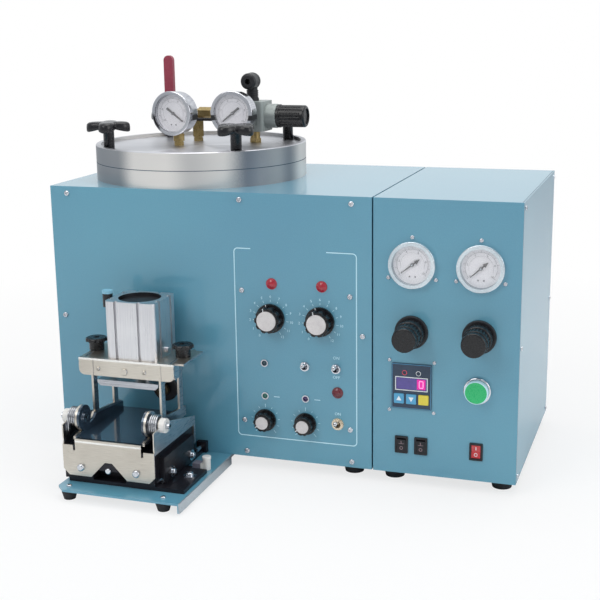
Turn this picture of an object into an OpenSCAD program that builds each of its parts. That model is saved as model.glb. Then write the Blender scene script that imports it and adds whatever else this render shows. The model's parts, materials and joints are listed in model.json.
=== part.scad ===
// Vacuum wax injector with a pneumatic mould clamp.
// X runs to the right, Y to the back and Z up. Modules draw in the pot cabinet's own corner,
// its front, left and lower one, and in_frame() moves them so that the origin lies on the
// floor, under the middle of the whole machine.

/* [Cabinets] */
// Width of the pot cabinet
pot_cab_w = 452; // [444:2:500]
// Width of the side cabinet
side_cab_w = 186; // [184:0.5:230]
// Depth of both cabinets
cab_d = 304; // [302:2:340]
// Height of both cabinets
cab_h = 360; // [350:2:400]
// Thickness of the cabinets' sheet steel
sheet_t = 1.5; // [1:0.25:2]
// Gap between the two cabinets
cab_gap = 2; // [1:0.25:3]
// Width of the flanges behind the front panels
flange_w = 17; // [15:0.5:18]
// Height of the cabinets' feet
foot_h = 16; // [14:1:22]
// Diameter of the cabinets' feet
foot_d = 30; // [22:1:34]
// Distance of a foot's axis from the pot cabinet's sides
foot_inset = 32; // [26:1:36]
// Distance of a foot's axis from the side cabinet's sides
side_foot_inset = 22; // [17:1:30]

/* [Wax pot] */
// Pot's axis, from the left side
pot_x = 159.5; // [156:0.5:176]
// Pot's axis, from the front
pot_y = 153; // [150:0.5:153]
// Diameter of the pot's flange and of the lid
lid_d = 298; // [290:1:300]
// Height of the pot's flange
pot_flange_h = 23.8; // [18:0.2:28]
// Thickness of the lid below its rim
lid_t = 19.2; // [16:0.2:24]
// Height of the lid's rim
rim_h = 5; // [3:0.5:7]
// Width of the lid's rim
rim_w = 7; // [5:0.5:8]
// Bore of the pot
vessel_bore = 206; // [190:2:212]
// Wall of the pot
vessel_wall = 6; // [5:0.5:8]
// Depth of the funnel at the pot's lower end
funnel_h = 60; // [40:2:80]
// Thickness of the seal ring
seal_t = 5; // [4:0.5:6]
// Middle diameter of the seal ring
seal_d = 229; // [224:1:232]

/* [Lid knobs] */
// Radius of the circle that the four knobs stand on
knob_ring_r = 135; // [134:0.5:136]
// Turn of that circle, in degrees
knob_ring_turn = -2; // [-4:1:4]
// Width across two opposite lobes
star_d = 60; // [54:1:62]
// Height of the star
star_h = 14; // [11:0.5:16]
// Diameter of the knob's stem
star_stem_d = 15; // [14:0.5:17]
// Height of the knob's stem
star_stem_h = 24.5; // [22:0.5:28]
// Diameter of the studs
stud_d = 10; // [8:0.5:11]

/* [Lid gauges and pipework] */
// Diameter of the lid's gauges
lid_gauge_d = 62; // [56:1:62]
// Depth of the lid's gauges
gauge_depth = 27; // [25:1:31]
// Height of the gauges' axes over the lid
gauge_rise = 46; // [44:0.5:50]
// Turn of the left gauge's face to the left
gauge_turn = 6; // [0:1:10]
// Diameter of the brass pipes
pipe_d = 12; // [10:0.5:13]
// Width across flats of the brass hexagons
hex_af = 15; // [15:0.5:18]
// Length of the red lever above its pivot
lever_len = 83; // [70:1:86]
// Width of the red grip
lever_w = 14; // [12:0.5:16]
// Width of the lid regulator's body
reg_w = 44; // [38:1:46]
// Depth and height of the lid regulator's body
reg_side = 42; // [38:1:44]
// Diameter of the lid regulator's knob
reg_knob_d = 31; // [27:0.5:34]
// Length of the lid regulator's knob
reg_knob_len = 42; // [34:1:46]

/* [Pot cabinet's controls] */
// Temperature knobs' spacing
temp_pitch = 68; // [64:0.5:72]
// Height of the temperature knobs' axes
temp_z = 195.5; // [190:0.5:200]
// Diameter of a temperature knob
temp_knob_d = 39; // [34:0.5:42]
// Height of a temperature knob
temp_knob_h = 18; // [15:0.5:22]
// Timer knobs' spacing
timer_pitch = 56.4; // [52:0.2:60]
// Height of the timer knobs' axes
timer_z = 54.5; // [50:0.5:58]
// Diameter of a timer knob
timer_knob_d = 30; // [26:0.5:33]
// Height of a timer knob
timer_knob_h = 16; // [13:0.5:19]
// Diameter of the knobs' shafts
shaft_d = 6; // [5:0.25:7]
// Diameter of a pilot lamp
lamp_d = 15; // [12:0.5:16]
// Diameter of a small indicator's bezel
led_d = 10; // [8:0.5:11]
// Length of a toggle lever in front of the panel
toggle_len = 15; // [12:0.5:18]
// Swing of a toggle lever to each side of its middle
toggle_swing = 12; // [9:1:14]

/* [Side cabinet's controls] */
// Diameter of the side cabinet's gauges
side_gauge_d = 60; // [56:1:62]
// Spacing of the two columns
side_pitch = 86; // [82:0.5:92]
// Height of the gauges' axes
side_gauge_z = 277; // [268:0.5:284]
// Height of the regulator knobs' axes
side_reg_z = 190.5; // [184:0.5:198]
// Diameter of a regulator knob at the panel
side_reg_d = 43; // [39:0.5:46]
// How far a regulator knob stands out
side_reg_len = 44; // [38:1:48]
// Width of the counter's face
counter_w = 52; // [48:1:56]
// Height of the counter's face
counter_h = 60; // [56:1:64]
// Height of the counter's middle
counter_z = 119; // [116:0.5:122]
// Side of a counter key
key_side = 13; // [11:0.5:14]
// Travel of a counter key
key_travel = 0.8; // [0.6:0.1:1]
// Diameter of the green button
button_d = 30; // [26:0.5:32]
// Travel of the green button
button_travel = 4; // [3:0.5:5]
// Height of the green button's axis
button_z = 121; // [116:0.5:126]
// Height of the rocker switches' middles
rocker_z = 39.5; // [38:0.5:46]
// Width of a rocker switch
rocker_w = 17; // [15:0.5:18]
// Height of a rocker switch
rocker_h = 23; // [21:0.5:24]
// Spacing of the two left rocker switches
rocker_pitch = 25.5; // [22:0.5:28]

/* [Clamp base] */
// Middle of the clamp, from the cabinet's left side
clamp_x = 147; // [146:0.5:150]
// Offset of the air cylinder to the right of the clamp's middle
cyl_offset = 5.5; // [0:0.5:8]
// Offset of the nozzle to the right of the clamp's middle
nozzle_offset = 14; // [6:0.5:15]
// Reach of the blue base plate in front of the cabinet
plate_reach = 177; // [173:1:186]
// Width of the blue base plate
plate_w = 174; // [170:1:182]
// Left edge of the base plate, from the cabinet's left side
plate_x = 82; // [78:1:86]
// Thickness of the blue base plate
plate_t = 3; // [2:0.5:4]
// Depth of the plate's folded right edge
plate_fold = 13; // [8:1:14]
// Half of the carriage block's width
block_half = 63; // [60:0.5:64]
// Front of the carriage block, in front of the cabinet
block_front = 148.5; // [144:0.5:150]
// Length of the carriage block
block_len = 126; // [110:1:128]
// Top of the carriage block, over the base plate
block_top = 48; // [44:0.5:50]
// Travel of the carriage to the nozzle
carriage_travel = 12; // [8:0.5:13]
// Height of the guide rail
rail_h = 14; // [12:0.5:18]
// Width of the guide rail
rail_w = 46; // [40:1:56]

/* [Clamp frame] */
// Height of the tray's floor
tray_z = 60; // [58:0.5:62]
// Half of the width between the stainless side frames
frame_half = 47; // [44:0.5:48]
// Thickness of the tray and of the side frames
frame_t = 3; // [2:0.5:3]
// Thickness of the stainless V plate and its wings
bracket_t = 1.5; // [1:0.25:2]
// Axle's distance in front of the cabinet
axle_y = 125; // [122:0.5:127]
// Axle's height
axle_z = 80; // [79:0.5:82]
// Diameter of the two stub axles
axle_d = 8; // [7:0.25:9]
// Radius of the round ears on the axle
ear_r = 16.5; // [15:0.5:17]
// Diameter of the nylon bushes
bush_d = 19; // [16:0.5:21]
// Wire of the torsion springs
spring_wire = 2.2; // [1.8:0.1:2.4]
// Middle radius of the torsion springs' coils
spring_r = 12.4; // [11:0.2:13]
// Tilt of the tray
tray_tilt = 2; // [1:0.5:2]
// Underside of the head plate
head_z = 146.5; // [140:0.5:156]
// Thickness of the head plate
head_t = 2.5; // [2:0.5:3]
// Half of the head plate's width
head_half = 68; // [66:0.5:72]
// Width of the air cylinder's body
cyl_w = 71; // [64:1:72]
// Depth of the air cylinder's body
cyl_d = 67; // [62:1:68]
// Bore of the air cylinder
cyl_bore = 50; // [44:1:52]
// Height of the air cylinder
cyl_h = 76.5; // [74:0.5:88]
// Stroke of the press plate
press_stroke = 30; // [20:1:32]
// Thickness of the press plate
press_t = 8; // [6:0.5:10]
// Diameter of the piston rod
rod_d = 20; // [16:1:22]
// Diameter of the two thumb knobs on the head
thumb_d = 29; // [26:0.5:32]
// Axis of the injection nozzle, over the cabinets' underside
nozzle_z = 87; // [84:0.5:90]
// Diameter of the nozzle's black boss
nozzle_boss_d = 36; // [30:1:40]
// Travel of the sprung nozzle
nozzle_travel = 2.5; // [1.5:0.5:3]

/* [Hidden] */
$fn = 48;

// Clearances: bodies that move past each other, and a shaft in its bore
gap = 0.3;
fit = 0.06;

// Cabinets
side_x0 = pot_cab_w + cab_gap;
total_w = side_x0 + side_cab_w;
// The air inlet is the rearmost piece
inlet_len = 20;
mid_y = (cab_d + inlet_len - plate_reach) / 2;
screw_d = 7.5;
screw_h = 2.4;
side_screw_h = 1.8;
edge_screw = 12;
corner_screw = 25;
mid_x = (total_w + side_screw_h) / 2;

// Levels of the pot and the lid
flange_top = cab_h + pot_flange_h;
lid_top = flange_top + lid_t;
gauge_z = lid_top + gauge_rise;
vessel_r = vessel_bore / 2;
outlet_d = 10;
outlet_back = 30;
vessel_floor = nozzle_z - outlet_d / 2;
hole_r = vessel_r + vessel_wall + 2;
groove_r = seal_d / 2;

// Pieces on the lid, by the places of their axes
left_gauge = [pot_x - 29, pot_y - 38];
right_gauge = [pot_x + 55, pot_y - 22];
valve_axis = [pot_x - 58, pot_y + 45];
tee_x = pot_x - 24;
valve_z = lid_top + 40.5;
lever_y = valve_axis[1] - 19;
reg_mid = [pot_x + 64, pot_y + 43];
reg_z = lid_top + 38;
face_t = 1;
lens_t = 1.5;
lip_t = 1.2;
pin_d = 2;
needle_room = 4.6;

// Pot cabinet's controls, from its right side
temp_x = [for (i = [0, 1]) pot_cab_w - 136.8 + i * temp_pitch];
timer_x = [for (i = [0, 1]) pot_cab_w - 146.7 + i * timer_pitch];
toggle_spots = [
    [pot_cab_w - 90, 134],
    [pot_cab_w - 47.4, 134],
    [pot_cab_w - 45.7, 58.5]
];
big_lamps = [
    [temp_x[0] + 2.3, temp_z + 46.4],
    [temp_x[1] + 2.7, temp_z + 46.6],
    [pot_cab_w - 45.7, 101.4]
];
led_spots = [
    [timer_x[0] + 0.3, 133.8],
    [timer_x[0] + 0.5, timer_z + 34],
    [timer_x[1] + 0.6, timer_z + 34.8]
];
board_screws = [
    [pot_cab_w - 176.3, 231],
    [pot_cab_w - 28.6, 231],
    [pot_cab_w - 176.3, 52],
    [pot_cab_w - 28.6, 52]
];
toggle_hole_d = 12;
board_y = 28;

// Side cabinet's controls
side_x = [for (i = [0, 1]) side_x0 + 50 + i * side_pitch];
gauge_screw_r = side_gauge_d / 2 + 5;
counter_x = side_x[0] + 0.8;
counter_screw = [counter_w / 2 + 3, counter_h / 2 + 3.3];
rocker_spots = [
    [side_x[0] - 12, rocker_z],
    [side_x[0] - 12 + rocker_pitch, rocker_z],
    [side_x[1] - 1, rocker_z]
];
button_spot = [side_x[1] - 0.8, button_z];
bezel_t = 2;
rocker_pivot = 4;
rocker_tilt = 6;

// Clamp, from the block up
base_t = 5;
side_plate_t = 8;
block_back = block_front - block_len;
wing_half = block_half + bracket_t;
tray_half = frame_half - frame_t;
tray_front = 146;
tray_back = 17;
leg_w = 11;
leg_front = 91;
leg_rear = 36;
head_front = 90;
// The head leans and travels towards the panel, and stays clear of it
head_back = carriage_travel + (head_z - axle_z) * sin(tray_tilt) + 1.7;
head_fold = 23;
cyl_x = clamp_x + cyl_offset;
cyl_y = head_front - 5.5 - cyl_d / 2;
cyl_z = head_z + head_t;
cyl_r = cyl_bore / 2;
cyl_recess = 5;
cyl_cap = 9;
nozzle_x = clamp_x + nozzle_offset;
nozzle_tip = 24;
press_top = head_z - 26.5;
press_half = frame_half - frame_t;
press_back = nozzle_tip + carriage_travel + 3;
rod_cyl = [clamp_x + block_half + 3, 9];
rod_cyl_w = 14;
rod_cyl_front = 6;
lug_y = 38;
thumb_half = 63;
thumb_y = 48;
thumb_stem_d = 20;
thumb_stem_h = 11.5;
thumb_head_h = 5;
slit_half = head_half - 6.5;

// ---------------------------------------------------------------- helpers

// Moves the cabinet's corner to its place in the machine's frame
module in_frame() {
    translate([-mid_x, -mid_y, foot_h]) children();
}

// Puts a piece that was drawn along +Z on a front panel, looking out of it
module on_front(x, z, y = 0) {
    translate([x, y, z]) rotate([90, 0, 0]) children();
}

// Puts a piece that was drawn along +Z so that it looks to the right
module to_right(p) {
    translate(p) rotate([0, 90, 0]) children();
}

// Rectangle round the origin with round corners
module soft_rect(w, h, r) {
    square([w - 2 * r, h], center = true);
    square([w, h - 2 * r], center = true);
    for (sx = [-1, 1], sy = [-1, 1]) {
        translate([sx * (w / 2 - r), sy * (h / 2 - r)]) circle(r = r);
    }
}

// Box from its low corner, with round vertical corners
module soft_box(size, r) {
    translate([size[0] / 2, size[1] / 2, 0]) linear_extrude(size[2]) soft_rect(size[0], size[1], r);
}

module hexagon(af, h) {
    cylinder(h = h, d = af / cos(30), $fn = 6);
}

module ring(outer, inner, h) {
    difference() {
        cylinder(h = h, d = outer);
        translate([0, 0, -1]) cylinder(h = h + 2, d = inner);
    }
}

// Cylinder with a round edge at its outer end
module soft_disc(d, h, r) {
    rotate_extrude() {
        square([d / 2 - r, h]);
        square([d / 2, h - r]);
        translate([d / 2 - r, h - r]) intersection() {
            circle(r = r);
            square(r);
        }
    }
}

// Pan-head screw with a cross recess, its head standing on z = 0
module pan_screw(d = screw_d, h = screw_h, shank = 4) {
    difference() {
        soft_disc(d, h, h * 0.7);
        for (a = [0, 90]) {
            rotate(a) translate([-d * 0.28, -d * 0.06, h * 0.45]) cube([d * 0.56, d * 0.12, h]);
        }
    }
    translate([0, 0, -shank]) cylinder(h = shank, d = d * 0.5);
}

module washer_bolt(head_d, washer_d) {
    cylinder(h = 1.5, d = washer_d);
    translate([0, 0, 1.5]) difference() {
        soft_disc(head_d, head_d * 0.42, head_d * 0.2);
        translate([0, 0, head_d * 0.2]) hexagon(head_d * 0.45, head_d);
    }
}

// Places on the front panel's edge where its screws go
pot_panel_screws = concat(
    [for (x = [corner_screw, pot_cab_w - 174, pot_cab_w - corner_screw - 1.5]) [x, 8]],
    [for (x = [corner_screw, pot_cab_w - 177, pot_cab_w - corner_screw - 1.5]) [x, cab_h - 9.5]],
    [for (x = [edge_screw, pot_cab_w - edge_screw]) [x, cab_h / 2]]
);

// ---------------------------------------------------------------- cabinets

// Inverted U of sheet with flanges at its front and back edges
module shell_sheet(x0, w) {
    t = sheet_t;
    translate([x0, t, 0]) difference() {
        cube([w, cab_d - 2 * t, cab_h]);
        translate([t, t, -1]) cube([w - 2 * t, cab_d - 4 * t, cab_h + 1 - t]);
        translate([flange_w, -1, -1]) cube([w - 2 * flange_w, cab_d, cab_h + 1 - flange_w]);
    }
}

module pot_cabinet_shell() {
    color("lightsteelblue") in_frame() difference() {
        shell_sheet(0, pot_cab_w);
        translate([pot_x, pot_y, cab_h - 10]) cylinder(h = 20, r = hole_r);
        for (p = pot_panel_screws) {
            on_front(p[0], p[1], 20) cylinder(h = 30, d = screw_d * 0.5 + 0.2);
        }
    }
}

module pot_cabinet_front() {
    color("cadetblue") in_frame() difference() {
        cube([pot_cab_w, sheet_t, cab_h]);
        for (p = pot_panel_screws) {
            on_front(p[0], p[1], 10) cylinder(h = 20, d = screw_d * 0.5 + 0.2);
        }
        for (p = board_screws) {
            on_front(p[0], p[1], 10) cylinder(h = 20, d = screw_d * 0.5 + 0.2);
        }
        for (x = temp_x) {
            on_front(x, temp_z, 10) cylinder(h = 20, d = shaft_d + 2);
        }
        for (x = timer_x) {
            on_front(x, timer_z, 10) cylinder(h = 20, d = shaft_d + 2);
        }
        for (p = toggle_spots) {
            on_front(p[0], p[1], 10) cylinder(h = 20, d = toggle_hole_d);
        }
        for (p = big_lamps) {
            on_front(p[0], p[1], 10) cylinder(h = 20, d = lamp_d - 3);
        }
        for (p = led_spots) {
            on_front(p[0], p[1], 10) cylinder(h = 20, d = led_d - 3);
        }
        on_front(nozzle_x, nozzle_z, 10) cylinder(h = 20, d = nozzle_boss_d - 8);
        translate([rod_cyl[0] - rod_cyl_w / 2 - gap, -5, -1]) cube([rod_cyl_w + 2 * gap, 20, 2 * rod_cyl[1] - 1]);
    }
}

module side_cabinet_shell() {
    color("lightsteelblue") in_frame() difference() {
        shell_sheet(side_x0, side_cab_w);
        for (p = side_cover_screws) {
            to_right([total_w - 10, p[0], p[1]]) cylinder(h = 20, d = screw_d * 0.5);
        }
    }
}

module side_cabinet_front() {
    return_w = 16;
    color("cadetblue") in_frame() difference() {
        translate([side_x0, 0, 0]) cube([side_cab_w, sheet_t, cab_h]);
        for (x = side_x) {
            on_front(x, side_gauge_z, 10) cylinder(h = 20, d = side_gauge_d - 5);
            on_front(x, side_reg_z, 10) cylinder(h = 20, d = side_reg_d - 16);
            for (a = [90, 210, 330]) {
                on_front(x + gauge_screw_r * cos(a), side_gauge_z + gauge_screw_r * sin(a), 10)
                    cylinder(h = 20, d = 3);
            }
        }
        on_front(counter_x, counter_z, 10) linear_extrude(20) square([counter_w - 4, counter_h - 4], center = true);
        for (sx = [-1, 1], sz = [-1, 1]) {
            on_front(counter_x + sx * counter_screw[0], counter_z + sz * counter_screw[1], 10)
                cylinder(h = 20, d = 3);
        }
        on_front(button_spot[0], button_spot[1], 10) cylinder(h = 20, d = button_d - 6);
        for (p = rocker_spots) {
            on_front(p[0], p[1], 10) linear_extrude(20) square([rocker_w - 3, rocker_h - 3], center = true);
        }
    }
}

// Screws on the side cabinet's right face, near its front and back edges
side_cover_screws = [
    for (y = [edge_screw, cab_d - edge_screw], z = [8, cab_h / 2 - 4, cab_h - 8]) [y, z]
];

// Base pan with its rear wall, which carries the vent slots
module chassis_pan(x0, w, vents) {
    t = sheet_t;
    slot_pitch = 9;
    translate([x0, 0, 0]) difference() {
        union() {
            translate([t, 2 * t, 0]) cube([w - 2 * t, cab_d - 4 * t, t]);
            translate([t, cab_d - t, 0]) cube([w - 2 * t, t, cab_h - t]);
            translate([flange_w, cab_d - 2 * t, 0]) cube([w - 2 * flange_w, 1.5 * t, t]);
            translate([flange_w + 1, 2 * t, 0]) cube([w - 2 * flange_w - 2, t, flange_w]);
        }
        for (i = [0 : vents - 1]) {
            translate([w / 2 - 45, cab_d - 3 * t, cab_h - 60 - i * slot_pitch]) cube([90, 6 * t, 3.2]);
        }
    }
}

module chassis_pans() {
    color("lightsteelblue") in_frame() difference() {
        union() {
            chassis_pan(0, pot_cab_w, 12);
            chassis_pan(side_x0, side_cab_w, 9);
            // spacers through which the two cabinets are bolted together
            for (y = [60, cab_d - 60], z = [60, cab_h - 60]) {
                to_right([pot_cab_w, y, z]) ring(16, 6, cab_gap);
            }
        }
        on_front(pot_cab_w - 70, 55, cab_d + 10) linear_extrude(30) square([28, 21], center = true);
        on_front(side_x0 + side_cab_w / 2, 60, cab_d + 10) cylinder(h = 30, d = 12);
        for (p = foot_spots) {
            translate([p[0], p[1], -5]) cylinder(h = 10, d = 5);
        }
        for (p = pot_panel_screws) {
            on_front(p[0], p[1], 20) cylinder(h = 30, d = screw_d * 0.5 + 0.2);
        }
        translate([rod_cyl[0] - rod_cyl_w / 2 - gap, -5, -1]) cube([rod_cyl_w + 2 * gap, 65, 2 * rod_cyl[1] - 1]);
    }
}

foot_spots = [
    for (c = [[0, pot_cab_w, foot_inset], [side_x0, side_cab_w, side_foot_inset]], i = [c[2], c[1] - c[2]],
        y = [foot_inset, cab_d - foot_inset]) [c[0] + i, y]
];
plate_foot_d = 20;
plate_foot_spots = [
    [plate_x + 15, -plate_reach + 13],
    [plate_x + plate_w - 27.5, -plate_reach + 13]
];

module rubber_foot(d, h) {
    rotate_extrude() polygon([[0, 0], [d / 2, 0], [d / 2, -h * 0.3], [d / 2 - 2.5, -h], [0, -h]]);
}

module rubber_feet() {
    color("dimgray") in_frame() {
        for (p = foot_spots) {
            translate([p[0], p[1], 0]) rubber_foot(foot_d, foot_h);
        }
        for (p = plate_foot_spots) {
            translate([p[0], p[1], -plate_t]) rubber_foot(plate_foot_d, foot_h - plate_t);
        }
    }
}

module panel_screws() {
    color("silver") in_frame() {
        for (p = concat(pot_panel_screws, board_screws)) {
            on_front(p[0], p[1]) pan_screw();
        }
        for (x = side_x, a = [90, 210, 330]) {
            on_front(x + gauge_screw_r * cos(a), side_gauge_z + gauge_screw_r * sin(a)) pan_screw(5.5, 2);
        }
        for (sx = [-1, 1], sz = [-1, 1]) {
            on_front(counter_x + sx * counter_screw[0], counter_z + sz * counter_screw[1]) pan_screw(5, 1.8);
        }
        for (p = side_cover_screws) {
            to_right([total_w, p[0], p[1]]) pan_screw(6, side_screw_h);
        }
        for (p = plate_foot_spots) {
            translate([p[0], p[1], 0]) pan_screw(7, 2.2, plate_t);
        }
    }
}

// Potentiometer behind a knob, with the bore that its shaft turns in
module potentiometer(x, z) {
    on_front(x, z, board_y) difference() {
        cylinder(h = board_y - sheet_t - 0.5, d = 14);
        translate([0, 0, -1]) cylinder(h = board_y, d = shaft_d + 2 * fit);
    }
}

module internal_units() {
    board_w = board_screws[1][0] - board_screws[0][0];
    board_rise = board_screws[0][1] - board_screws[2][1];
    heater_h = 90;
    color("darkolivegreen") in_frame() {
        // control board on four pillars
        translate([board_screws[2][0] - 5, board_y, board_screws[2][1] - 5])
            cube([board_w + 10, 1.6, board_rise + 10]);
        for (p = board_screws) {
            on_front(p[0], p[1], board_y) ring(8, screw_d * 0.5, board_y - sheet_t);
        }
        for (x = temp_x) {
            potentiometer(x, temp_z);
        }
        for (x = timer_x) {
            potentiometer(x, timer_z);
        }
        // heater band round the vessel
        translate([pot_x, pot_y, cab_h - 120 - heater_h / 2])
            ring(vessel_bore + 2 * vessel_wall + 6, vessel_bore + 2 * vessel_wall, heater_h);
        // bodies of the two panel regulators
        for (x = side_x) {
            on_front(x, side_reg_z, sheet_t + 48) difference() {
                translate([-21, -21, 0]) cube([42, 42, 48]);
                translate([0, 0, 20]) cylinder(h = 40, d = 10 + 2 * fit);
            }
        }
        // vacuum pump on the side cabinet's floor
        translate([side_x0 + side_cab_w / 2 - 55, 120, sheet_t]) {
            soft_box([110, 70, 12], 4);
            translate([22, 35, 12 + 33]) rotate([0, 90, 0]) cylinder(h = 84, d = 66);
            translate([4, 12, 12]) soft_box([34, 46, 78], 5);
        }
        // two solenoid valves on the pot cabinet's floor
        for (i = [0, 1]) {
            translate([pot_cab_w - 120 + i * 45, 120, sheet_t]) {
                soft_box([30, 50, 22], 2);
                translate([3, 10, 22]) soft_box([24, 30, 34], 3);
            }
        }
    }
}

module rear_inlets() {
    color("black") in_frame() {
        // mains inlet
        on_front(pot_cab_w - 70, 55, cab_d) {
            difference() {
                union() {
                    translate([0, 0, -3]) linear_extrude(3) soft_rect(50, 23, 3);
                    linear_extrude(25) soft_rect(27, 20, 2);
                }
                translate([0, 0, -4]) linear_extrude(20) soft_rect(23.4, 16.2, 2);
            }
            for (i = [-1, 0, 1]) {
                translate([i * 7 - 1, (i == 0 ? 2 : -2) - 2, 0]) cube([2, 4, 17]);
            }
        }
        // air inlet for a hose
        on_front(side_x0 + side_cab_w / 2, 60, cab_d + 4) {
            hexagon(14, 4);
            translate([0, 0, 4]) cylinder(h = 14, d = 11.8);
            translate([0, 0, 5.6]) hexagon(14, 4);
            translate([0, 0, 4 - inlet_len]) difference() {
                cylinder(h = inlet_len, d = 8);
                translate([0, 0, -1]) cylinder(h = inlet_len, d = 5);
            }
        }
    }
}

// ---------------------------------------------------------------- wax pot

function knob_spot(i) = [
    pot_x + knob_ring_r * cos(225 + 90 * i + knob_ring_turn),
    pot_y + knob_ring_r * sin(225 + 90 * i + knob_ring_turn)
];

module wax_pot() {
    r = vessel_r;
    w = vessel_wall;
    funnel_top = vessel_floor + funnel_h;
    neck_r = 26;
    color("silver") in_frame() {
        difference() {
            union() {
                translate([pot_x, pot_y, 0]) rotate_extrude() difference() {
                    polygon([
                        [0, vessel_floor - w], [neck_r + w, vessel_floor - w],
                        [r + w, funnel_top], [r + w, cab_h],
                        [lid_d / 2, cab_h], [lid_d / 2, flange_top], [0, flange_top]
                    ]);
                    polygon([
                        [-1, vessel_floor], [neck_r, vessel_floor],
                        [r, funnel_top], [r, flange_top + 1], [-1, flange_top + 1]
                    ]);
                    translate([groove_r - seal_t / 2, flange_top - seal_t * 0.8]) square([seal_t, seal_t]);
                }
                // outlet boss towards the nozzle
                translate([pot_x, pot_y, nozzle_z]) rotate([90, 0, 0])
                    translate([nozzle_x - pot_x, 0, neck_r]) cylinder(h = pot_y - neck_r - outlet_back, d = 24);
            }
            translate([nozzle_x, pot_y, nozzle_z]) rotate([90, 0, 0]) cylinder(h = pot_y, d = outlet_d);
            for (i = [0 : 3]) {
                translate([knob_spot(i)[0], knob_spot(i)[1], flange_top - 15]) cylinder(h = 20, d = stud_d);
            }
        }
        for (i = [0 : 3]) {
            translate([knob_spot(i)[0], knob_spot(i)[1], flange_top - 15])
                cylinder(h = 15 + lid_t + star_stem_h - 4, d = stud_d);
        }
    }
}

module lid_seal() {
    color("darkred") in_frame() translate([pot_x, pot_y, flange_top - seal_t * 0.8])
        ring(2 * groove_r + seal_t - 0.2, 2 * groove_r - seal_t + 0.2, seal_t * 0.8);
}

module pot_lid() {
    spigot_h = 4;
    color("gainsboro") in_frame() difference() {
        translate([pot_x, pot_y, 0]) rotate_extrude() polygon([
            [0, flange_top - spigot_h], [vessel_r - 1, flange_top - spigot_h], [vessel_r - 1, flange_top],
            [lid_d / 2, flange_top], [lid_d / 2, lid_top + rim_h - 1], [lid_d / 2 - 1, lid_top + rim_h],
            [lid_d / 2 - rim_w, lid_top + rim_h], [lid_d / 2 - rim_w, lid_top], [0, lid_top]
        ]);
        for (i = [0 : 3]) {
            translate([knob_spot(i)[0], knob_spot(i)[1], flange_top - 1]) {
                cylinder(h = lid_t + 2, d = stud_d + 1);
                translate([0, 0, 1 + lid_t]) cylinder(h = 20, d = star_stem_d + 3);
            }
        }
    }
}

// Four-lobed knob on a stem, drawn from the stem's foot up
module star_knob() {
    lobe_r = star_d * 0.17;
    reach = star_d / 2 - lobe_r;
    difference() {
        union() {
            cylinder(h = star_stem_h + 1, d = star_stem_d);
            translate([0, 0, star_stem_h]) intersection() {
                linear_extrude(star_h) {
                    circle(r = star_d * 0.27);
                    for (a = [0 : 90 : 270]) {
                        rotate(a) {
                            translate([0, -lobe_r]) square([reach, 2 * lobe_r]);
                            translate([reach, 0]) circle(r = lobe_r);
                        }
                    }
                }
                soft_disc(star_d, star_h, 5);
            }
        }
        translate([0, 0, -1]) cylinder(h = star_stem_h - 2, d = stud_d + 0.4);
        // hollowed underside between the stem and the lobes' tips
        rotate_extrude() translate([star_d * 0.32, star_stem_h - 1.5]) circle(r = 5.5);
    }
}

module place_star_knob(i, turn) {
    color("#26262b") in_frame() translate([knob_spot(i)[0], knob_spot(i)[1], lid_top + gap])
        rotate(turn) star_knob();
}

module lid_knob_front_left() {
    place_star_knob(0, 18);
}

module lid_knob_front_right() {
    place_star_knob(1, -25);
}

module lid_knob_rear_right() {
    place_star_knob(2, 40);
}

module lid_knob_rear_left() {
    place_star_knob(3, 10);
}

// ---------------------------------------------------------------- gauges

// Level of the floor under a gauge's face
function dial_z(depth) = depth - lip_t - lens_t - needle_room - face_t;

// Gauge case, looking along +Z: a body of the given depth behind a bezel ring with its lip.
// The white face is a disc of its own on the body's floor, and the pin carries the needle.
module gauge_case(d, depth, bezel_h) {
    wall = 2;
    gauge_r = d / 2;
    floor_z = dial_z(depth);
    lens_z = depth - lip_t - lens_t;
    difference() {
        union() {
            soft_disc_back(d - 3, depth);
            translate([0, 0, depth - bezel_h]) soft_disc(d, bezel_h, 1.2);
        }
        translate([0, 0, floor_z]) cylinder(h = depth, r = gauge_r - wall - 3);
        translate([0, 0, lens_z]) cylinder(h = lens_t, r = gauge_r - wall - 1);
    }
    translate([0, 0, floor_z]) cylinder(h = face_t + needle_room - 0.6, d = pin_d);
    difference() {
        translate([0, 0, floor_z]) cylinder(h = face_t, r = gauge_r - wall - 3.1);
        translate([0, 0, floor_z - 1]) cylinder(h = face_t + 2, d = pin_d + 0.2);
    }
}

// Cylinder along +Z with a round edge at its back end
module soft_disc_back(d, h) {
    r = 4;
    rotate_extrude() {
        translate([0, r]) square([d / 2, h - r]);
        square([d / 2 - r, h]);
        translate([d / 2 - r, r]) intersection() {
            circle(r = r);
            translate([0, -r]) square(r);
        }
    }
}

module gauge_lens(d, depth) {
    translate([0, 0, depth - lip_t - lens_t]) cylinder(h = lens_t, r = d / 2 - 3.1);
}

// Needle with its hub on the pin, pointing along the given angle; the tail may be an arrow
module gauge_needle(d, depth, angle, arrow) {
    reach = d / 2 - 12;
    rotate(angle) translate([0, 0, dial_z(depth) + face_t]) difference() {
        union() {
            translate([0, 0, 0.3]) cylinder(h = 2.6, d = 4.4);
            translate([0, 0, 1.1]) linear_extrude(0.8) {
                if (arrow) {
                    polygon([[0, -1], [reach, -0.4], [reach, 0.4], [0, 1]]);
                    polygon([[0, -0.8], [-5, -0.8], [-5, -2.8], [-12, 0], [-5, 2.8], [-5, 0.8], [0, 0.8]]);
                } else {
                    polygon([[-12, -1.6], [0, -1.3], [reach, -0.8], [reach, 0.8], [0, 1.3], [-12, 1.6]]);
                }
            }
        }
        translate([0, 0, -1]) cylinder(h = 8, d = pin_d + 2 * fit);
    }
}

// Lid gauges stand with their backs on these places
module at_left_gauge() {
    translate([left_gauge[0], left_gauge[1], gauge_z]) rotate([0, 0, -gauge_turn]) rotate([90, 0, 0])
        translate([0, 0, -gauge_depth]) children();
}

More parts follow.
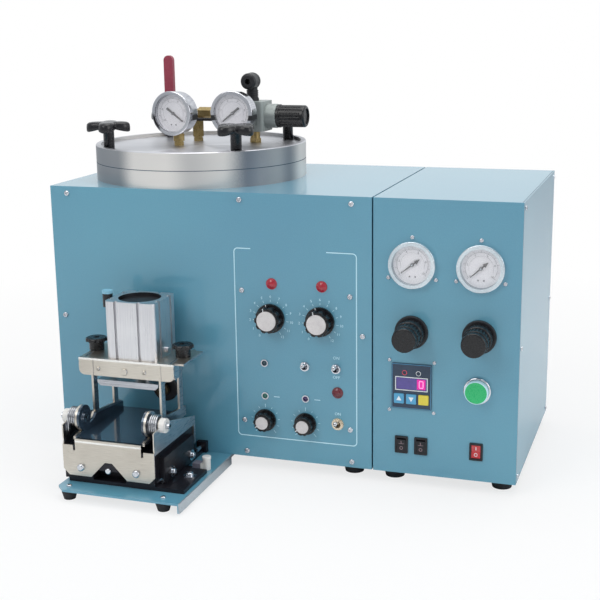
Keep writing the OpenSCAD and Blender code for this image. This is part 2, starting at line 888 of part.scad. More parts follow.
module at_right_gauge() {
    translate([right_gauge[0], right_gauge[1], gauge_z]) rotate([90, 0, 0])
        translate([0, 0, -gauge_depth]) children();
}

module lid_gauges() {
    color("gainsboro") in_frame() {
        at_left_gauge() gauge_case(lid_gauge_d, gauge_depth, 5);
        at_right_gauge() gauge_case(lid_gauge_d, gauge_depth, 5);
        at_left_gauge() relief_plug();
        at_right_gauge() relief_plug();
    }
}

// Rubber plug in the case's right side
module relief_plug() {
    translate([lid_gauge_d / 2 - 4, -9, 4]) cube([3, 6, gauge_depth - 11]);
}

module lid_gauge_lenses() {
    color("aliceblue") in_frame() {
        at_left_gauge() gauge_lens(lid_gauge_d, gauge_depth);
        at_right_gauge() gauge_lens(lid_gauge_d, gauge_depth);
    }
}

module vacuum_needle() {
    color("black") in_frame() at_left_gauge() gauge_needle(lid_gauge_d, gauge_depth, -36, false);
}

module pressure_needle() {
    color("black") in_frame() at_right_gauge() gauge_needle(lid_gauge_d, gauge_depth, 218, false);
}

panel_gauge_depth = 32;
panel_gauge_front = 6;

module at_side_gauge(i) {
    on_front(side_x[i], side_gauge_z, panel_gauge_depth - panel_gauge_front) children();
}

module panel_gauges() {
    color("whitesmoke") in_frame() for (i = [0, 1]) {
        at_side_gauge(i) intersection() {
            gauge_case(side_gauge_d, panel_gauge_depth, panel_gauge_front);
            union() {
                cylinder(h = panel_gauge_depth - panel_gauge_front, d = side_gauge_d - 5.4);
                translate([0, 0, panel_gauge_depth - panel_gauge_front])
                    cylinder(h = panel_gauge_front, d = side_gauge_d);
            }
        }
    }
}

module panel_gauge_lenses() {
    color("aliceblue") in_frame() for (i = [0, 1]) {
        at_side_gauge(i) gauge_lens(side_gauge_d, panel_gauge_depth);
    }
}

module forward_needle() {
    color("black") in_frame() at_side_gauge(0) gauge_needle(side_gauge_d, panel_gauge_depth, 218, true);
}

module clamp_needle() {
    color("black") in_frame() at_side_gauge(1) gauge_needle(side_gauge_d, panel_gauge_depth, 222, true);
}

// ---------------------------------------------------------------- pipework on the lid

// Brass nipple from the lid up to the given height, with two hexagons
module nipple(h) {
    cylinder(h = h, d = pipe_d);
    hexagon(hex_af - 2, 5);
    translate([0, 0, 6.5]) hexagon(hex_af, min(10, h - 7));
}

module lid_pipework() {
    vx = valve_axis[0];
    vy = valve_axis[1];
    stem_back = 20;
    color("darkgoldenrod") in_frame() {
        // nipple below the left gauge
        translate([left_gauge[0] + stem_back * sin(gauge_turn), left_gauge[1] + stem_back * cos(gauge_turn), lid_top])
            nipple(gauge_rise - lid_gauge_d / 2 + 4);
        // nipple, tee and ball valve
        translate([tee_x, vy, lid_top]) {
            nipple(valve_z - lid_top);
            translate([0, 0, 17]) hexagon(hex_af, 13);
        }
        to_right([vx - 18, vy, valve_z]) {
            cylinder(h = 75, d = pipe_d + 1);
            hexagon(hex_af + 2, 7);
            translate([0, 0, 7]) cylinder(h = 22, d = hex_af + 6);
            translate([0, 0, 29]) hexagon(hex_af + 2, 7);
            translate([0, 0, 55]) hexagon(hex_af, 20);
        }
        translate([vx, vy, valve_z]) rotate([90, 0, 0]) cylinder(h = vy - lever_y + 5, d = 5);
        translate([vx, vy, valve_z]) rotate([90, 0, 0]) cylinder(h = vy - lever_y - 3, d = 9);
        // air tube from the valve to the regulator
        to_right([vx + 14, vy - 12, valve_z - 8]) cylinder(h = reg_mid[0] - reg_w / 2 - vx - 14, d = 5);
        to_right([vx + 13, vy - 12, valve_z - 8]) cylinder(h = 10, d = 9);
        translate([vx + 16, vy - 12, valve_z - 11]) cube([6, 8, 6]);
    }
}

module valve_lever() {
    strap_t = 3;
    grip_t = 7;
    grip_z = 24;
    color("#963A48") in_frame() translate([valve_axis[0], lever_y + strap_t / 2, valve_z])
        rotate([90, 0, 0]) difference() {
            union() {
                linear_extrude(strap_t) {
                    circle(d = 16);
                    translate([-5.5, 0]) square([11, lever_len - 12]);
                }
                translate([0, 0, (strap_t - grip_t) / 2]) linear_extrude(grip_t) {
                    translate([-lever_w / 2, grip_z + 3]) square([lever_w, lever_len - grip_z - 3 - lever_w / 2]);
                    translate([0, lever_len - lever_w / 2]) circle(d = lever_w);
                    translate([0, grip_z + 3]) soft_rect(lever_w, 6, 2.9);
                }
            }
            translate([0, 0, -5]) cylinder(h = 20, d = 5 + 2 * fit);
        }
}

module lid_regulator() {
    x = reg_mid[0];
    y = reg_mid[1];
    s = reg_side;
    arm_z = reg_z + s / 2 + 24;
    color("darkgray") in_frame() {
        difference() {
            union() {
                translate([x - reg_w / 2, y - s / 2, reg_z - s / 2]) soft_box([reg_w, s, s], 5);
                to_right([x + reg_w / 2, y, reg_z]) soft_disc(reg_knob_d + 3, 16, 2);
            }
            to_right([x + reg_w / 2 - 4, y, reg_z]) cylinder(h = 40, d = 10 + 2 * fit);
            for (dz = [-12, 8]) {
                translate([x + reg_w / 2 - 12, y - s / 2 - 1, reg_z + dz]) cube([3, 2.5, 9]);
            }
        }
        // nipple into the lid
        translate([x + 2, y, lid_top]) cylinder(h = reg_z - s / 2 - lid_top, d = pipe_d + 2);
        translate([x + 2, y, lid_top]) hexagon(hex_af, 6);
        // port to the right gauge
        translate([right_gauge[0] - 1, right_gauge[1] + gauge_depth, gauge_z - 11])
            cube([14, y - s / 2 - right_gauge[1] - gauge_depth, 14]);
        // elbow for the hose
        translate([x - 1, y, reg_z + s / 2]) {
            hexagon(17, 4);
            for (i = [0 : 3]) {
                translate([0, 0, 4 + 3 * i]) cylinder(h = 2, d = 17);
            }
            cylinder(h = 26, d = 15);
            translate([0, 0, 28]) sphere(d = 24);
            translate([0, 0, 28]) rotate([90, 0, 0]) difference() {
                soft_disc(23, 19, 4);
                translate([0, 0, 6]) cylinder(h = 20, d = 8);
            }
        }
    }
}

module lid_regulator_knob() {
    ribs = 20;
    color("#1d1d20") in_frame() to_right([reg_mid[0] + reg_w / 2 + 16 + gap, reg_mid[1], reg_z]) {
        difference() {
            union() {
                soft_disc(reg_knob_d + 2, 4, 1);
                soft_disc(reg_knob_d, reg_knob_len, 3);
            }
            for (i = [0 : ribs - 1]) {
                rotate(i * 360 / ribs) translate([reg_knob_d / 2 + 0.4, 0, 5]) cylinder(h = reg_knob_len - 11, r = 1.4);
            }
            translate([0, 0, reg_knob_len - 2]) cylinder(h = 3, d = reg_knob_d - 9);
        }
        translate([0, 0, -18]) cylinder(h = 20, d = 10);
    }
}

// ---------------------------------------------------------------- pot cabinet's controls

// Fluted knob with a flat cap and a shaft
module control_knob(d, h, cap_d) {
    flutes = 10;
    difference() {
        union() {
            cylinder(h = 3, d = d);
            translate([0, 0, 2]) linear_extrude(h - 4) difference() {
                circle(d = d - 5);
                for (i = [0 : flutes - 1]) {
                    rotate((i + 0.5) * 360 / flutes) translate([d / 2 - 0.9, 0]) circle(d = d * 0.17);
                }
            }
            cylinder(h = h - 1, d = cap_d + 3.5);
        }
        translate([0, 0, h - 1.6]) cylinder(h = 3, d = cap_d);
    }
    translate([0, 0, h - 1.6]) cylinder(h = 1.6, d = cap_d - 0.1);
    translate([0, 0, gap - board_y + 2]) cylinder(h = board_y, d = shaft_d);
}

module place_knob(x, z, turn, d, h, cap_d) {
    color("#1d1d20") in_frame() on_front(x, z, -gap) rotate(turn) control_knob(d, h, cap_d);
}

module temperature_knob_left() {
    place_knob(temp_x[0], temp_z, 0, temp_knob_d, temp_knob_h, temp_knob_d * 0.67);
}

module temperature_knob_right() {
    place_knob(temp_x[1], temp_z, 0, temp_knob_d, temp_knob_h, temp_knob_d * 0.67);
}

module timer_knob_left() {
    place_knob(timer_x[0], timer_z, 0, timer_knob_d, timer_knob_h, timer_knob_d * 0.57);
}

module timer_knob_right() {
    place_knob(timer_x[1], timer_z, 0, timer_knob_d, timer_knob_h, timer_knob_d * 0.57);
}

// Toggle's threaded bush with its nut, hollow so that the lever swings in it
module toggle_bush(nut_d) {
    difference() {
        union() {
            translate([0, 0, -10]) cylinder(h = 14, d = toggle_hole_d - 0.2);
            cylinder(h = 2, d = nut_d);
            translate([0, 0, 2]) hexagon(nut_d - 2.5, 1.2);
            translate([-8, -6.5, -26]) cube([16, 13, 16]);
        }
        translate([0, 0, -8]) cylinder(h = 20, d = 9.4);
    }
}

module toggle_lever(i, tilt) {
    color("whitesmoke") in_frame() on_front(toggle_spots[i][0], toggle_spots[i][1], 5)
        rotate([-tilt, 0, 0]) {
            sphere(d = 5.6);
            cylinder(h = toggle_len - 3, d1 = 3, d2 = 5);
            translate([0, 0, toggle_len - 3]) cylinder(h = 5, d1 = 5, d2 = 5.6);
            translate([0, 0, toggle_len + 2]) soft_disc(5.6, 3, 2);
        }
}

module mode_toggle() {
    toggle_lever(0, toggle_swing);
}

module vacuum_toggle() {
    toggle_lever(1, toggle_swing);
}

module power_toggle() {
    toggle_lever(2, toggle_swing);
}

module pilot_lamps() {
    color("firebrick") in_frame() {
        for (p = big_lamps) {
            on_front(p[0], p[1]) {
                translate([0, 0, -12]) cylinder(h = 12, d = lamp_d - 3.4);
                cylinder(h = 1.2, d = lamp_d);
                translate([0, 0, 1.2]) intersection() {
                    translate([0, 0, -lamp_d * 0.4]) sphere(r = lamp_d * 0.6);
                    cylinder(h = 10, d = lamp_d - 2);
                }
            }
        }
        for (p = led_spots) {
            on_front(p[0], p[1]) {
                translate([0, 0, -8]) cylinder(h = 8, d = led_d - 3.4);
                ring(led_d, 5.2, 1.8);
                sphere(d = 5);
            }
        }
    }
}

// Bushes, rings and bezels of the controls on both panels
module panel_bezels() {
    color("silver") in_frame() {
        for (i = [0 : 2]) {
            on_front(toggle_spots[i][0], toggle_spots[i][1]) toggle_bush(i == 2 ? 16 : 12.5);
        }
        for (x = side_x) {
            on_front(x, side_reg_z) difference() {
                union() {
                    soft_disc(side_reg_d, 4, 1.2);
                    translate([0, 0, -sheet_t]) cylinder(h = 3, d = side_reg_d - 16.4);
                }
                translate([0, 0, -5]) cylinder(h = 20, d = 14);
            }
        }
        // black boss that guides the nozzle
        on_front(nozzle_x, nozzle_z) difference() {
            union() {
                soft_disc(nozzle_boss_d, 5, 1.5);
                translate([0, 0, -outlet_back]) cylinder(h = outlet_back, d = nozzle_boss_d - 8.4);
            }
            translate([0, 0, -outlet_back - 1]) cylinder(h = 50, d = 10 + 2 * fit);
        }
        on_front(button_spot[0], button_spot[1]) difference() {
            union() {
                soft_disc(button_d + 5, 5, 1.5);
                translate([0, 0, -30]) cylinder(h = 30, d = button_d - 6.4);
            }
            translate([0, 0, -25]) cylinder(h = 40, d = button_d - 12);
            translate([0, 0, 1]) cylinder(h = 10, d = button_d + 0.8);
        }
        for (p = rocker_spots) {
            on_front(p[0], p[1]) difference() {
                union() {
                    linear_extrude(bezel_t) soft_rect(rocker_w, rocker_h, 1);
                    translate([0, 0, -20]) linear_extrude(21) square([rocker_w - 3.4, rocker_h - 3.4], center = true);
                }
                translate([0, 0, -12]) linear_extrude(20) square([rocker_w - 5, rocker_h - 5], center = true);
            }
        }
    }
}

// ---------------------------------------------------------------- side cabinet's controls

module regulator_knob(i) {
    base_d = side_reg_d - 7;
    cap_d = base_d - 5;
    color("#1d1d20") in_frame() on_front(side_x[i], side_reg_z, -4 - gap) {
        difference() {
            union() {
                soft_disc(base_d, side_reg_len * 0.35, 2);
                soft_disc(base_d - 3, side_reg_len * 0.7, 1);
                soft_disc(cap_d, side_reg_len - 4, 2);
            }
            for (k = [0 : 23]) {
                rotate(k * 15) translate([base_d / 2 - 1.4, 0, side_reg_len * 0.35 + 1.5])
                    cylinder(h = side_reg_len * 0.3, r = 0.9);
            }
        }
        translate([0, 0, -24 - 4]) cylinder(h = 30, d = 10);
    }
}

module regulator_knob_left() {
    regulator_knob(0);
}

module regulator_knob_right() {
    regulator_knob(1);
}

key_z = counter_z - counter_h / 2 + 13.5;
key_x = [for (i = [-1, 0, 1]) counter_x + i * (key_side + 3)];

module counter_case() {
    color("#33455A") in_frame() difference() {
        union() {
            on_front(counter_x, counter_z) linear_extrude(2) soft_rect(counter_w, counter_h, 1);
            on_front(counter_x, counter_z, 26) linear_extrude(27)
                square([counter_w - 4.4, counter_h - 4.4], center = true);
        }
        // display window
        on_front(counter_x, counter_z + 3.5, -1.2) linear_extrude(3) square([counter_w - 12, 16], center = true);
        for (sx = [-1, 1]) {
            on_front(counter_x + sx * 9, counter_z + 18, -1) cylinder(h = 3, d = 5);
        }
        for (x = key_x) {
            on_front(x, key_z, 3.2 + key_travel) linear_extrude(10) soft_rect(key_side + 0.6, key_side + 0.6, 1.3);
        }
    }
}

module counter_key(i) {
    color(i == 2 ? "#E8D24A" : "#4EA3D0") in_frame() on_front(key_x[i], key_z, 2.5)
        linear_extrude(2.5 + 2 + 1.2) soft_rect(key_side, key_side, 1);
}

module counter_key_up() {
    counter_key(0);
}

module counter_key_down() {
    counter_key(1);
}

module counter_key_set() {
    counter_key(2);
}

module push_button() {
    color("#2BB673") in_frame() on_front(button_spot[0], button_spot[1]) {
        translate([0, 0, 1 + button_travel + gap]) soft_disc(button_d, 7, 1.5);
        translate([0, 0, -20]) cylinder(h = 22 + button_travel, d = button_d - 12.6);
    }
}

// Rocker that pivots behind the panel; its face is bent in the middle
module rocker(i, tilt) {
    w = rocker_w - 5.6;
    h = rocker_h - 5.6;
    color(i == 2 ? "#C22B2B" : "#26262b") in_frame()
        on_front(rocker_spots[i][0], rocker_spots[i][1], rocker_pivot) rotate([tilt, 0, 0])
            rotate([90, 0, 90]) translate([0, 0, -w / 2]) linear_extrude(w) difference() {
                polygon([
                    [-h * 0.46, 0], [h * 0.46, 0], [h / 2 - 0.6, rocker_pivot + 2.6],
                    [0, rocker_pivot + 1.2], [-h / 2 + 0.6, rocker_pivot + 2.6]
                ]);
                circle(d = 2.2);
            }
}

module rocker_left() {
    rocker(0, rocker_tilt);
}

module rocker_middle() {
    rocker(1, rocker_tilt);
}

module rocker_power() {
    rocker(2, -rocker_tilt);
}

// ---------------------------------------------------------------- clamp base and carriage

module clamp_base_plate() {
    c = 12;
    tail = 60;
    color("steelblue") in_frame() difference() {
        union() {
            translate([0, 0, -plate_t]) linear_extrude(plate_t) polygon([
                [plate_x, tail], [plate_x, -plate_reach + c], [plate_x + c, -plate_reach],
                [plate_x + plate_w, -plate_reach], [plate_x + plate_w, tail]
            ]);
            translate([plate_x + plate_w - plate_t, -plate_reach, -plate_fold])
                cube([plate_t, plate_reach - 4, plate_fold]);
        }
        for (p = plate_foot_spots) {
            translate([p[0], p[1], -10]) cylinder(h = 20, d = 3.7);
        }
        for (p = foot_spots) {
            translate([p[0], p[1], -10]) cylinder(h = 20, d = foot_d + 2);
        }
    }
}

// Fixed guide: foot plate, rail, and the cylinder that drives the carriage
module slide_base() {
    x0 = clamp_x - block_half + 4;
    right = clamp_x + block_half + 39;
    rail_len = block_front - 12 - carriage_travel;
    low = 0.5;
    color("#1b1820") in_frame() {
        translate([x0, -block_front + 1.5, 0]) cube([rod_cyl[0] + 2 - x0, block_front - 6, base_t]);
        translate([x0, -block_front + 1.5, 0]) cube([right - x0, 74, base_t]);
        translate([clamp_x - rail_w / 2, -rail_len - 6, base_t]) cube([rail_w, rail_len, rail_h]);
        // forward cylinder
        difference() {
            translate([rod_cyl[0] - rod_cyl_w / 2, -rod_cyl_front, low])
                cube([rod_cyl_w, rod_cyl_front + 50, 2 * (rod_cyl[1] - low) - 2]);
            on_front(rod_cyl[0], rod_cyl[1], 40) cylinder(h = 80, d = 6 + 2 * fit);
        }
        // hose fitting
        translate([right - 23, -67, 0]) cube([13, 12, 9]);
        translate([right - 5, -61, 0]) cylinder(h = 15, d = 10.5);
        translate([right - 5, -61, 15]) soft_disc(12, 3.5, 1);
        translate([right - 11, -65, 2]) cube([4, 8, 6]);
        translate([rod_cyl[0], -67, 0]) cube([right - 12 - rod_cyl[0], 8, 1.5]);
        translate([right - 12, -101, base_t]) washer_bolt(10, 17);
    }
}

module carriage() {
    low = base_t + gap;
    side_x1 = clamp_x + block_half;
    color("#1b1820") in_frame() difference() {
        union() {
            translate([clamp_x - block_half, -block_front, low]) cube([2 * block_half, block_len, block_top - low]);
            translate([side_x1, -block_front + 14, low]) cube([side_plate_t, block_len - 34, 40 - low]);
            // driving rod
            translate([side_x1 - 1, -lug_y, low]) cube([rod_cyl[0] - side_x1 + 7, 5, 11]);
            on_front(rod_cyl[0], rod_cyl[1], 38 - carriage_travel) cylinder(h = 36 - carriage_travel + lug_y, d = 6);
            for (y = [-113, -52]) {
                to_right([side_x1 + side_plate_t, y, 14]) washer_bolt(9, 15);
            }
            on_front(clamp_x - 1, 20, -block_front) soft_disc(8, 3, 1.5);
        }
        translate([clamp_x - rail_w / 2 - gap, -block_front - 1, low - 1])
            cube([rail_w + 2 * gap, block_len + 2, rail_h + 1]);
    }
}

// Stainless bracket: V-notched front plate with two wings that carry the axle
module clamp_bracket() {
    low = 9.8;
    shoulder = 50.5;
    tab_half = 46.5;
    notch_half = 25.3;
    apex_half = 5;
    apex_z = 31;
    chamfer = 8;
    slot_w = 3;
    color("#b9b2a5") in_frame() {
        difference() {
            translate([clamp_x, -block_front, 0]) rotate([90, 0, 0]) linear_extrude(bracket_t) polygon([
                [-wing_half + chamfer, low], [-notch_half, low], [-apex_half, apex_z], [apex_half, apex_z],
                [notch_half, low], [wing_half - chamfer, low], [wing_half, low + chamfer],
                [wing_half, shoulder], [tab_half + slot_w, shoulder], [tab_half + slot_w, shoulder - 7],
                [tab_half, shoulder - 7], [tab_half, tray_z - 0.5], [-tab_half, tray_z - 0.5],
                [-tab_half, shoulder - 7], [-tab_half - slot_w, shoulder - 7], [-tab_half - slot_w, shoulder],
                [-wing_half, shoulder], [-wing_half, low + chamfer]
            ]);
            on_front(clamp_x - 1, 20, -block_front + 5) cylinder(h = 20, d = 12);
        }
        for (s = [-1, 1]) {
            translate([clamp_x + s * (block_half + bracket_t / 2), 0, 0]) rotate([90, 0, 90])
                translate([0, 0, -bracket_t / 2]) linear_extrude(bracket_t) difference() {
                    union() {
                        polygon([
                            [-block_front, block_top - 1], [-21, block_top - 1], [-21, block_top + 10],
                            [-axle_y + 12, axle_z + 1], [-axle_y - 12, axle_z - 2], [-block_front, axle_z - 4]
                        ]);
                        translate([-axle_y, axle_z]) circle(r = bush_d / 2 - 0.5);
                        translate([-26, 20]) square([5, block_top - 10]);
                    }
                    translate([-axle_y, axle_z]) circle(d = axle_d);
                }
            on_front(clamp_x + s * 39, 21.5, -block_front - bracket_t) soft_disc(10, 4.2, 2.4);
        }
    }
}

// Two hollow stub axles, each with a head inside the tray and a nylon bush outside the wing
module tray_axle() {
    head = tray_half - gap - 1.5;
    color("silver") in_frame() for (s = [0, 1]) {
        translate([clamp_x, -axle_y, axle_z]) mirror([s, 0, 0]) rotate([0, 90, 0]) {
            translate([0, 0, head]) ring(axle_d, axle_d * 0.55, wing_half + 12 - head);
            translate([0, 0, head]) ring(axle_d + 4, axle_d * 0.55, 1.5);
            translate([0, 0, wing_half]) ring(bush_d, axle_d - 0.2, 7);
        }
    }
}

// Points of a torsion spring beside its ear, then a tube of six sides swept along them.
// The coil runs outwards along X, and both ends run straight: one down to the bracket's
// shoulder, one back along the tray.
spring_turns = 4;
spring_pitch = 2.75;
rings_per_turn = 8;
spring_x0 = frame_half + frame_t + gap + spring_wire / 2;
function coil_point(t) = let (a = 270 + 360 * t) [
    spring_x0 + spring_pitch * t,
    -axle_y + spring_r * cos(a),
    axle_z + spring_r * sin(a)
];
// The coil ends a quarter turn further on, on its front side
function spring_path() = concat(
    [for (y = [30, 20, 10]) [spring_x0, -axle_y + y, axle_z - spring_r]],
    [for (i = [0 : spring_turns * rings_per_turn - 2]) coil_point(i / rings_per_turn)],
    [for (z = [-4, -12, -20]) [
        spring_x0 + spring_pitch * (spring_turns - 0.25),
        -axle_y - spring_r,
        axle_z + z
    ]]
);
function unit(v) = v / norm(v);
function path_tangent(p, i) = unit(p[min(i + 1, len(p) - 1)] - p[max(i - 1, 0)]);
// A side direction that never turns over: away from the axle, or down on the straight ends
function path_side(p, i) = let (
    t = path_tangent(p, i),
    n = cross(t, [1, 0, 0])
) unit(n);
function tube_ring(p, i, r, sides) = let (
    t = path_tangent(p, i),
    u = path_side(p, i),
    v = cross(t, u)
) [for (k = [0 : sides - 1]) p[i] + r * cos(360 * k / sides) * u + r * sin(360 * k / sides) * v];

module swept_tube(path, r, sides = 6) {
    n = len(path);
    points = [for (i = [0 : n - 1]) each tube_ring(path, i, r, sides)];
    skins = [
        for (i = [0 : n - 2], k = [0 : sides - 1]) let (a = i * sides, j = (k + 1) % sides)
            each [[a + k, a + sides + k, a + j], [a + j, a + sides + k, a + sides + j]]
    ];
    front = [[for (k = [0 : sides - 1]) k]];
    back = [[for (k = [sides - 1 : -1 : 0]) (n - 1) * sides + k]];
    polyhedron(points, concat(skins, front, back));
}

module torsion_springs() {
    path = spring_path();
    color("lightgray") in_frame() for (s = [0, 1]) {
        translate([clamp_x, 0, 0]) mirror([s, 0, 0]) swept_tube(path, spring_wire / 2);
    }
}

// Least gap between turns that lie side by side
spring_gap = min([
    for (i = [0 : 2 * rings_per_turn]) norm(coil_point(i / rings_per_turn + 1) - coil_point(i / rings_per_turn))
]) - spring_wire;
echo(spring_gap = spring_gap);

// ---------------------------------------------------------------- tray, frame and head

// Outline of a side wall with its round ear; wall_top gives its height behind the ear
module ear_outline(low, wall_top, back_top) {
    difference() {
        union() {
            polygon([
                [-tray_front, low], [-tray_back, low], [-tray_back, back_top], [-leg_front - 3, wall_top],
                [-leg_front - 9, wall_top - 5], [-axle_y + ear_r * 0.7, axle_z - ear_r * 0.7],
                [-axle_y - ear_r * 0.5, low + 6], [-tray_front, low + 4]
            ]);
            translate([-axle_y, axle_z]) circle(r = ear_r);
        }
        translate([-axle_y, axle_z]) circle(d = axle_d + 2 * fit);
    }
}

module side_wall(x, t) {
    translate([x, 0, 0]) rotate([90, 0, 90]) linear_extrude(t) children();
}

module mould_tray() {
    color("#4A5A68") in_frame() {
        translate([clamp_x - tray_half, -tray_front, tray_z - frame_t])
            cube([2 * tray_half, tray_front - tray_back, frame_t]);
        for (x = [clamp_x - frame_half, clamp_x + tray_half]) {
            side_wall(x, frame_t) ear_outline(tray_z - frame_t, 76, 68);
        }
    }
}

// Stainless side frames, each with its ear and two legs, and the folded head plate
module clamp_head() {
    leg_top = head_z;
    color("#c8c2b6") in_frame() {
        for (x = [clamp_x - frame_half - frame_t, clamp_x + frame_half]) {
            side_wall(x, frame_t) {
                ear_outline(tray_z - frame_t, 77.5, 69.5);
                for (y = [-leg_front, -leg_rear]) {
                    translate([y, 66]) square([leg_w, leg_top - 66]);
                }
            }
        }
        difference() {
            union() {
                translate([clamp_x - head_half, -head_front, head_z])
                    cube([2 * head_half, head_front - head_back, head_t]);
                translate([clamp_x + head_half - 20, -83, head_z]) cube([31, 83 - head_back - 4, head_t]);
                // front fold with round lower corners
                translate([clamp_x, -head_front + head_t, head_z + head_t]) rotate([90, 0, 0])
                    linear_extrude(head_t) difference() {
                        translate([0, -head_fold / 2]) soft_rect(2 * head_half, head_fold, 8);
                        translate([-head_half, -4]) square([2 * head_half, 5]);
                    }
                translate([clamp_x - head_half, -head_front, head_z - 2]) cube([2 * head_half, head_t, head_t + 2]);
                // short side fold at the right
                translate([clamp_x + head_half - head_t, -head_front + 3, head_z - 18])
                    cube([head_t, 14, 19]);
            }
            for (s = [-1, 1]) {
                translate([clamp_x + s * slit_half - 1.2, -head_front + 5, head_z - 1]) cube([2.4, 26, head_t + 2]);
                translate([clamp_x + s * thumb_half, -thumb_y, head_z - 1]) cylinder(h = 10, d = 6.6);
            }
            translate([cyl_x, -cyl_y, head_z - 1]) cylinder(h = 10, d = rod_d + 4);
        }
        for (dx = [-40, 26]) {
            on_front(clamp_x + dx, head_z - 11, -head_front) pan_screw(6, 2, 2);
        }
        on_front(clamp_x - 2.5, head_z - 12.5, -head_front) soft_disc(9.5, 2, 1);
    }
}

// Extruded cylinder tube with its sensor grooves and the recess in its top
module air_cylinder() {
    half = cyl_w / 2;
    recess = cyl_recess;
    groove_w = 4.2;
    color("gainsboro") in_frame() translate([cyl_x, -cyl_y, cyl_z]) {
        difference() {
            linear_extrude(cyl_h) difference() {
                soft_rect(cyl_w, cyl_d, 7);
                // sensor grooves
                for (s = [-1, 1], dx = [-19.5, 13]) {
                    translate([dx, s * cyl_d / 2]) square([groove_w, 5], center = true);
                    translate([dx, s * (cyl_d / 2 - 2.5)]) circle(d = groove_w + 1);
                }
                for (s = [-1, 1], dy = [-17, 17]) {
                    translate([s * cyl_w / 2, dy]) square([5, groove_w], center = true);
                    translate([s * (cyl_w / 2 - 2.5), dy]) circle(d = groove_w + 1);
                }
            }
            translate([0, 0, cyl_cap]) cylinder(h = cyl_h - 2 * cyl_cap - recess, r = cyl_r);
            translate([0, 0, -1]) cylinder(h = cyl_cap + 2, d = rod_d + 2 * fit);
            translate([0, 0, cyl_h - recess]) cylinder(h = recess + 1, d = cyl_w - 15);
        }
        // port fittings: elbow high on the left, plug low on the right
        translate([-half - 14.5, 6, cyl_h - 17]) {
            to_right([1, 0, 10]) cylinder(h = 15, d = 8);
            cylinder(h = 18, d = 13.5);
            translate([0, 0, 18]) cylinder(h = 4, d = 14);
        }
        to_right([half - 1, 1, 8]) cylinder(h = 4, d = 8);
    }
}

// Press plate with its rod and the piston inside the cylinder
module press_plate() {
    piston_z = cyl_z + cyl_cap + press_stroke + 8.5;
    front = head_front - 3;
    color("lightgray") in_frame() {
        translate([cyl_x, -cyl_y, press_top - press_t]) difference() {
            union() {
                translate([-cyl_offset, cyl_y, 0]) rotate([90, 0, 0]) linear_extrude(front) translate([0, press_t / 2])
                    difference() {
                        square([2 * press_half - 2 * gap, press_t], center = true);
                        for (s = [-1, 1]) {
                            translate([s * (press_half - gap), -press_t / 2]) rotate(45) square(6, center = true);
                        }
                    }
                cylinder(h = piston_z - press_top + press_t + 1, d = rod_d);
                translate([0, 0, piston_z - press_top + press_t]) cylinder(h = 12, r = cyl_r - fit);
            }
            translate([-2 * cyl_w, cyl_y - press_back, -1]) cube([4 * cyl_w, 40, press_t + 2]);
        }
        to_right([clamp_x + press_half - gap - 2, -front + 10, press_top - press_t / 2 + 1]) cylinder(h = 2, d = 5);
    }
}

// Thumb knob with six blunt teeth, drawn from its foot up, with its stud below
module thumb_knob(s) {
    color("#26262b") in_frame() translate([clamp_x + s * thumb_half, -thumb_y, cyl_z + gap]) {
        cylinder(h = thumb_stem_h, d = thumb_stem_d);
        translate([0, 0, thumb_stem_h - 0.01]) difference() {
            soft_disc(thumb_d, thumb_head_h, 2.5);
            for (a = [0 : 60 : 300]) {
                rotate(a) translate([thumb_d / 2 + 2.2, 0, -1]) cylinder(h = 20, d = 8);
            }
            translate([0, 0, thumb_head_h - 1]) cylinder(h = 2, d = 8);
        }
        translate([0, 0, -10]) cylinder(h = 10, d = 6);
    }
}

module thumb_knob_left() {
    thumb_knob(-1);
}

module thumb_knob_right() {
    thumb_knob(1);
}

// Sprung nozzle in its black boss: the boss is fixed on the panel with the bezels
module injection_nozzle() {
    color("darkgoldenrod") in_frame() on_front(nozzle_x, nozzle_z) difference() {
        union() {
            translate([0, 0, -20]) cylinder(h = 20 + 12, d = 10);
            translate([0, 0, 5 + nozzle_travel + gap]) soft_disc(17, 7, 1);
            translate([0, 0, 12]) cylinder(h = nozzle_tip - 12, d1 = 12, d2 = 6);
        }
        translate([0, 0, -25]) cylinder(h = nozzle_tip + 26, d = 2.5);
    }
}

pot_cabinet_shell();
pot_cabinet_front();
side_cabinet_shell();
side_cabinet_front();
chassis_pans();
rubber_feet();
panel_screws();
internal_units();
rear_inlets();
wax_pot();
lid_seal();
pot_lid();
lid_knob_front_left();
lid_knob_front_right();
lid_knob_rear_right();
lid_knob_rear_left();
lid_pipework();
valve_lever();
lid_regulator();
lid_regulator_knob();
lid_gauges();
lid_gauge_lenses();
vacuum_needle();
pressure_needle();
panel_gauges();
panel_gauge_lenses();
forward_needle();
clamp_needle();
temperature_knob_left();
temperature_knob_right();
timer_knob_left();
timer_knob_right();
mode_toggle();
vacuum_toggle();
power_toggle();
panel_bezels();
pilot_lamps();
regulator_knob_left();
regulator_knob_right();
counter_case();
counter_key_up();
counter_key_down();
counter_key_set();
push_button();
rocker_left();
rocker_middle();
rocker_power();
clamp_base_plate();
slide_base();
carriage();
clamp_bracket();
tray_axle();
torsion_springs();
mould_tray();
clamp_head();
air_cylinder();
press_plate();
thumb_knob_left();
thumb_knob_right();
injection_nozzle();
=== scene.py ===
"""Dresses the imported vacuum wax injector: finishes for its CAD nodes, the fine pieces on
them, and the studio in which it is seen.

Lengths in the classes are millimetres in the pot cabinet's own corner: its front, left and
lower one. at() turns them into the machine's frame in metres.
"""

from __future__ import annotations

import functools
import json
import logging
import math
from dataclasses import dataclass, field
from enum import Enum
from typing import Sequence

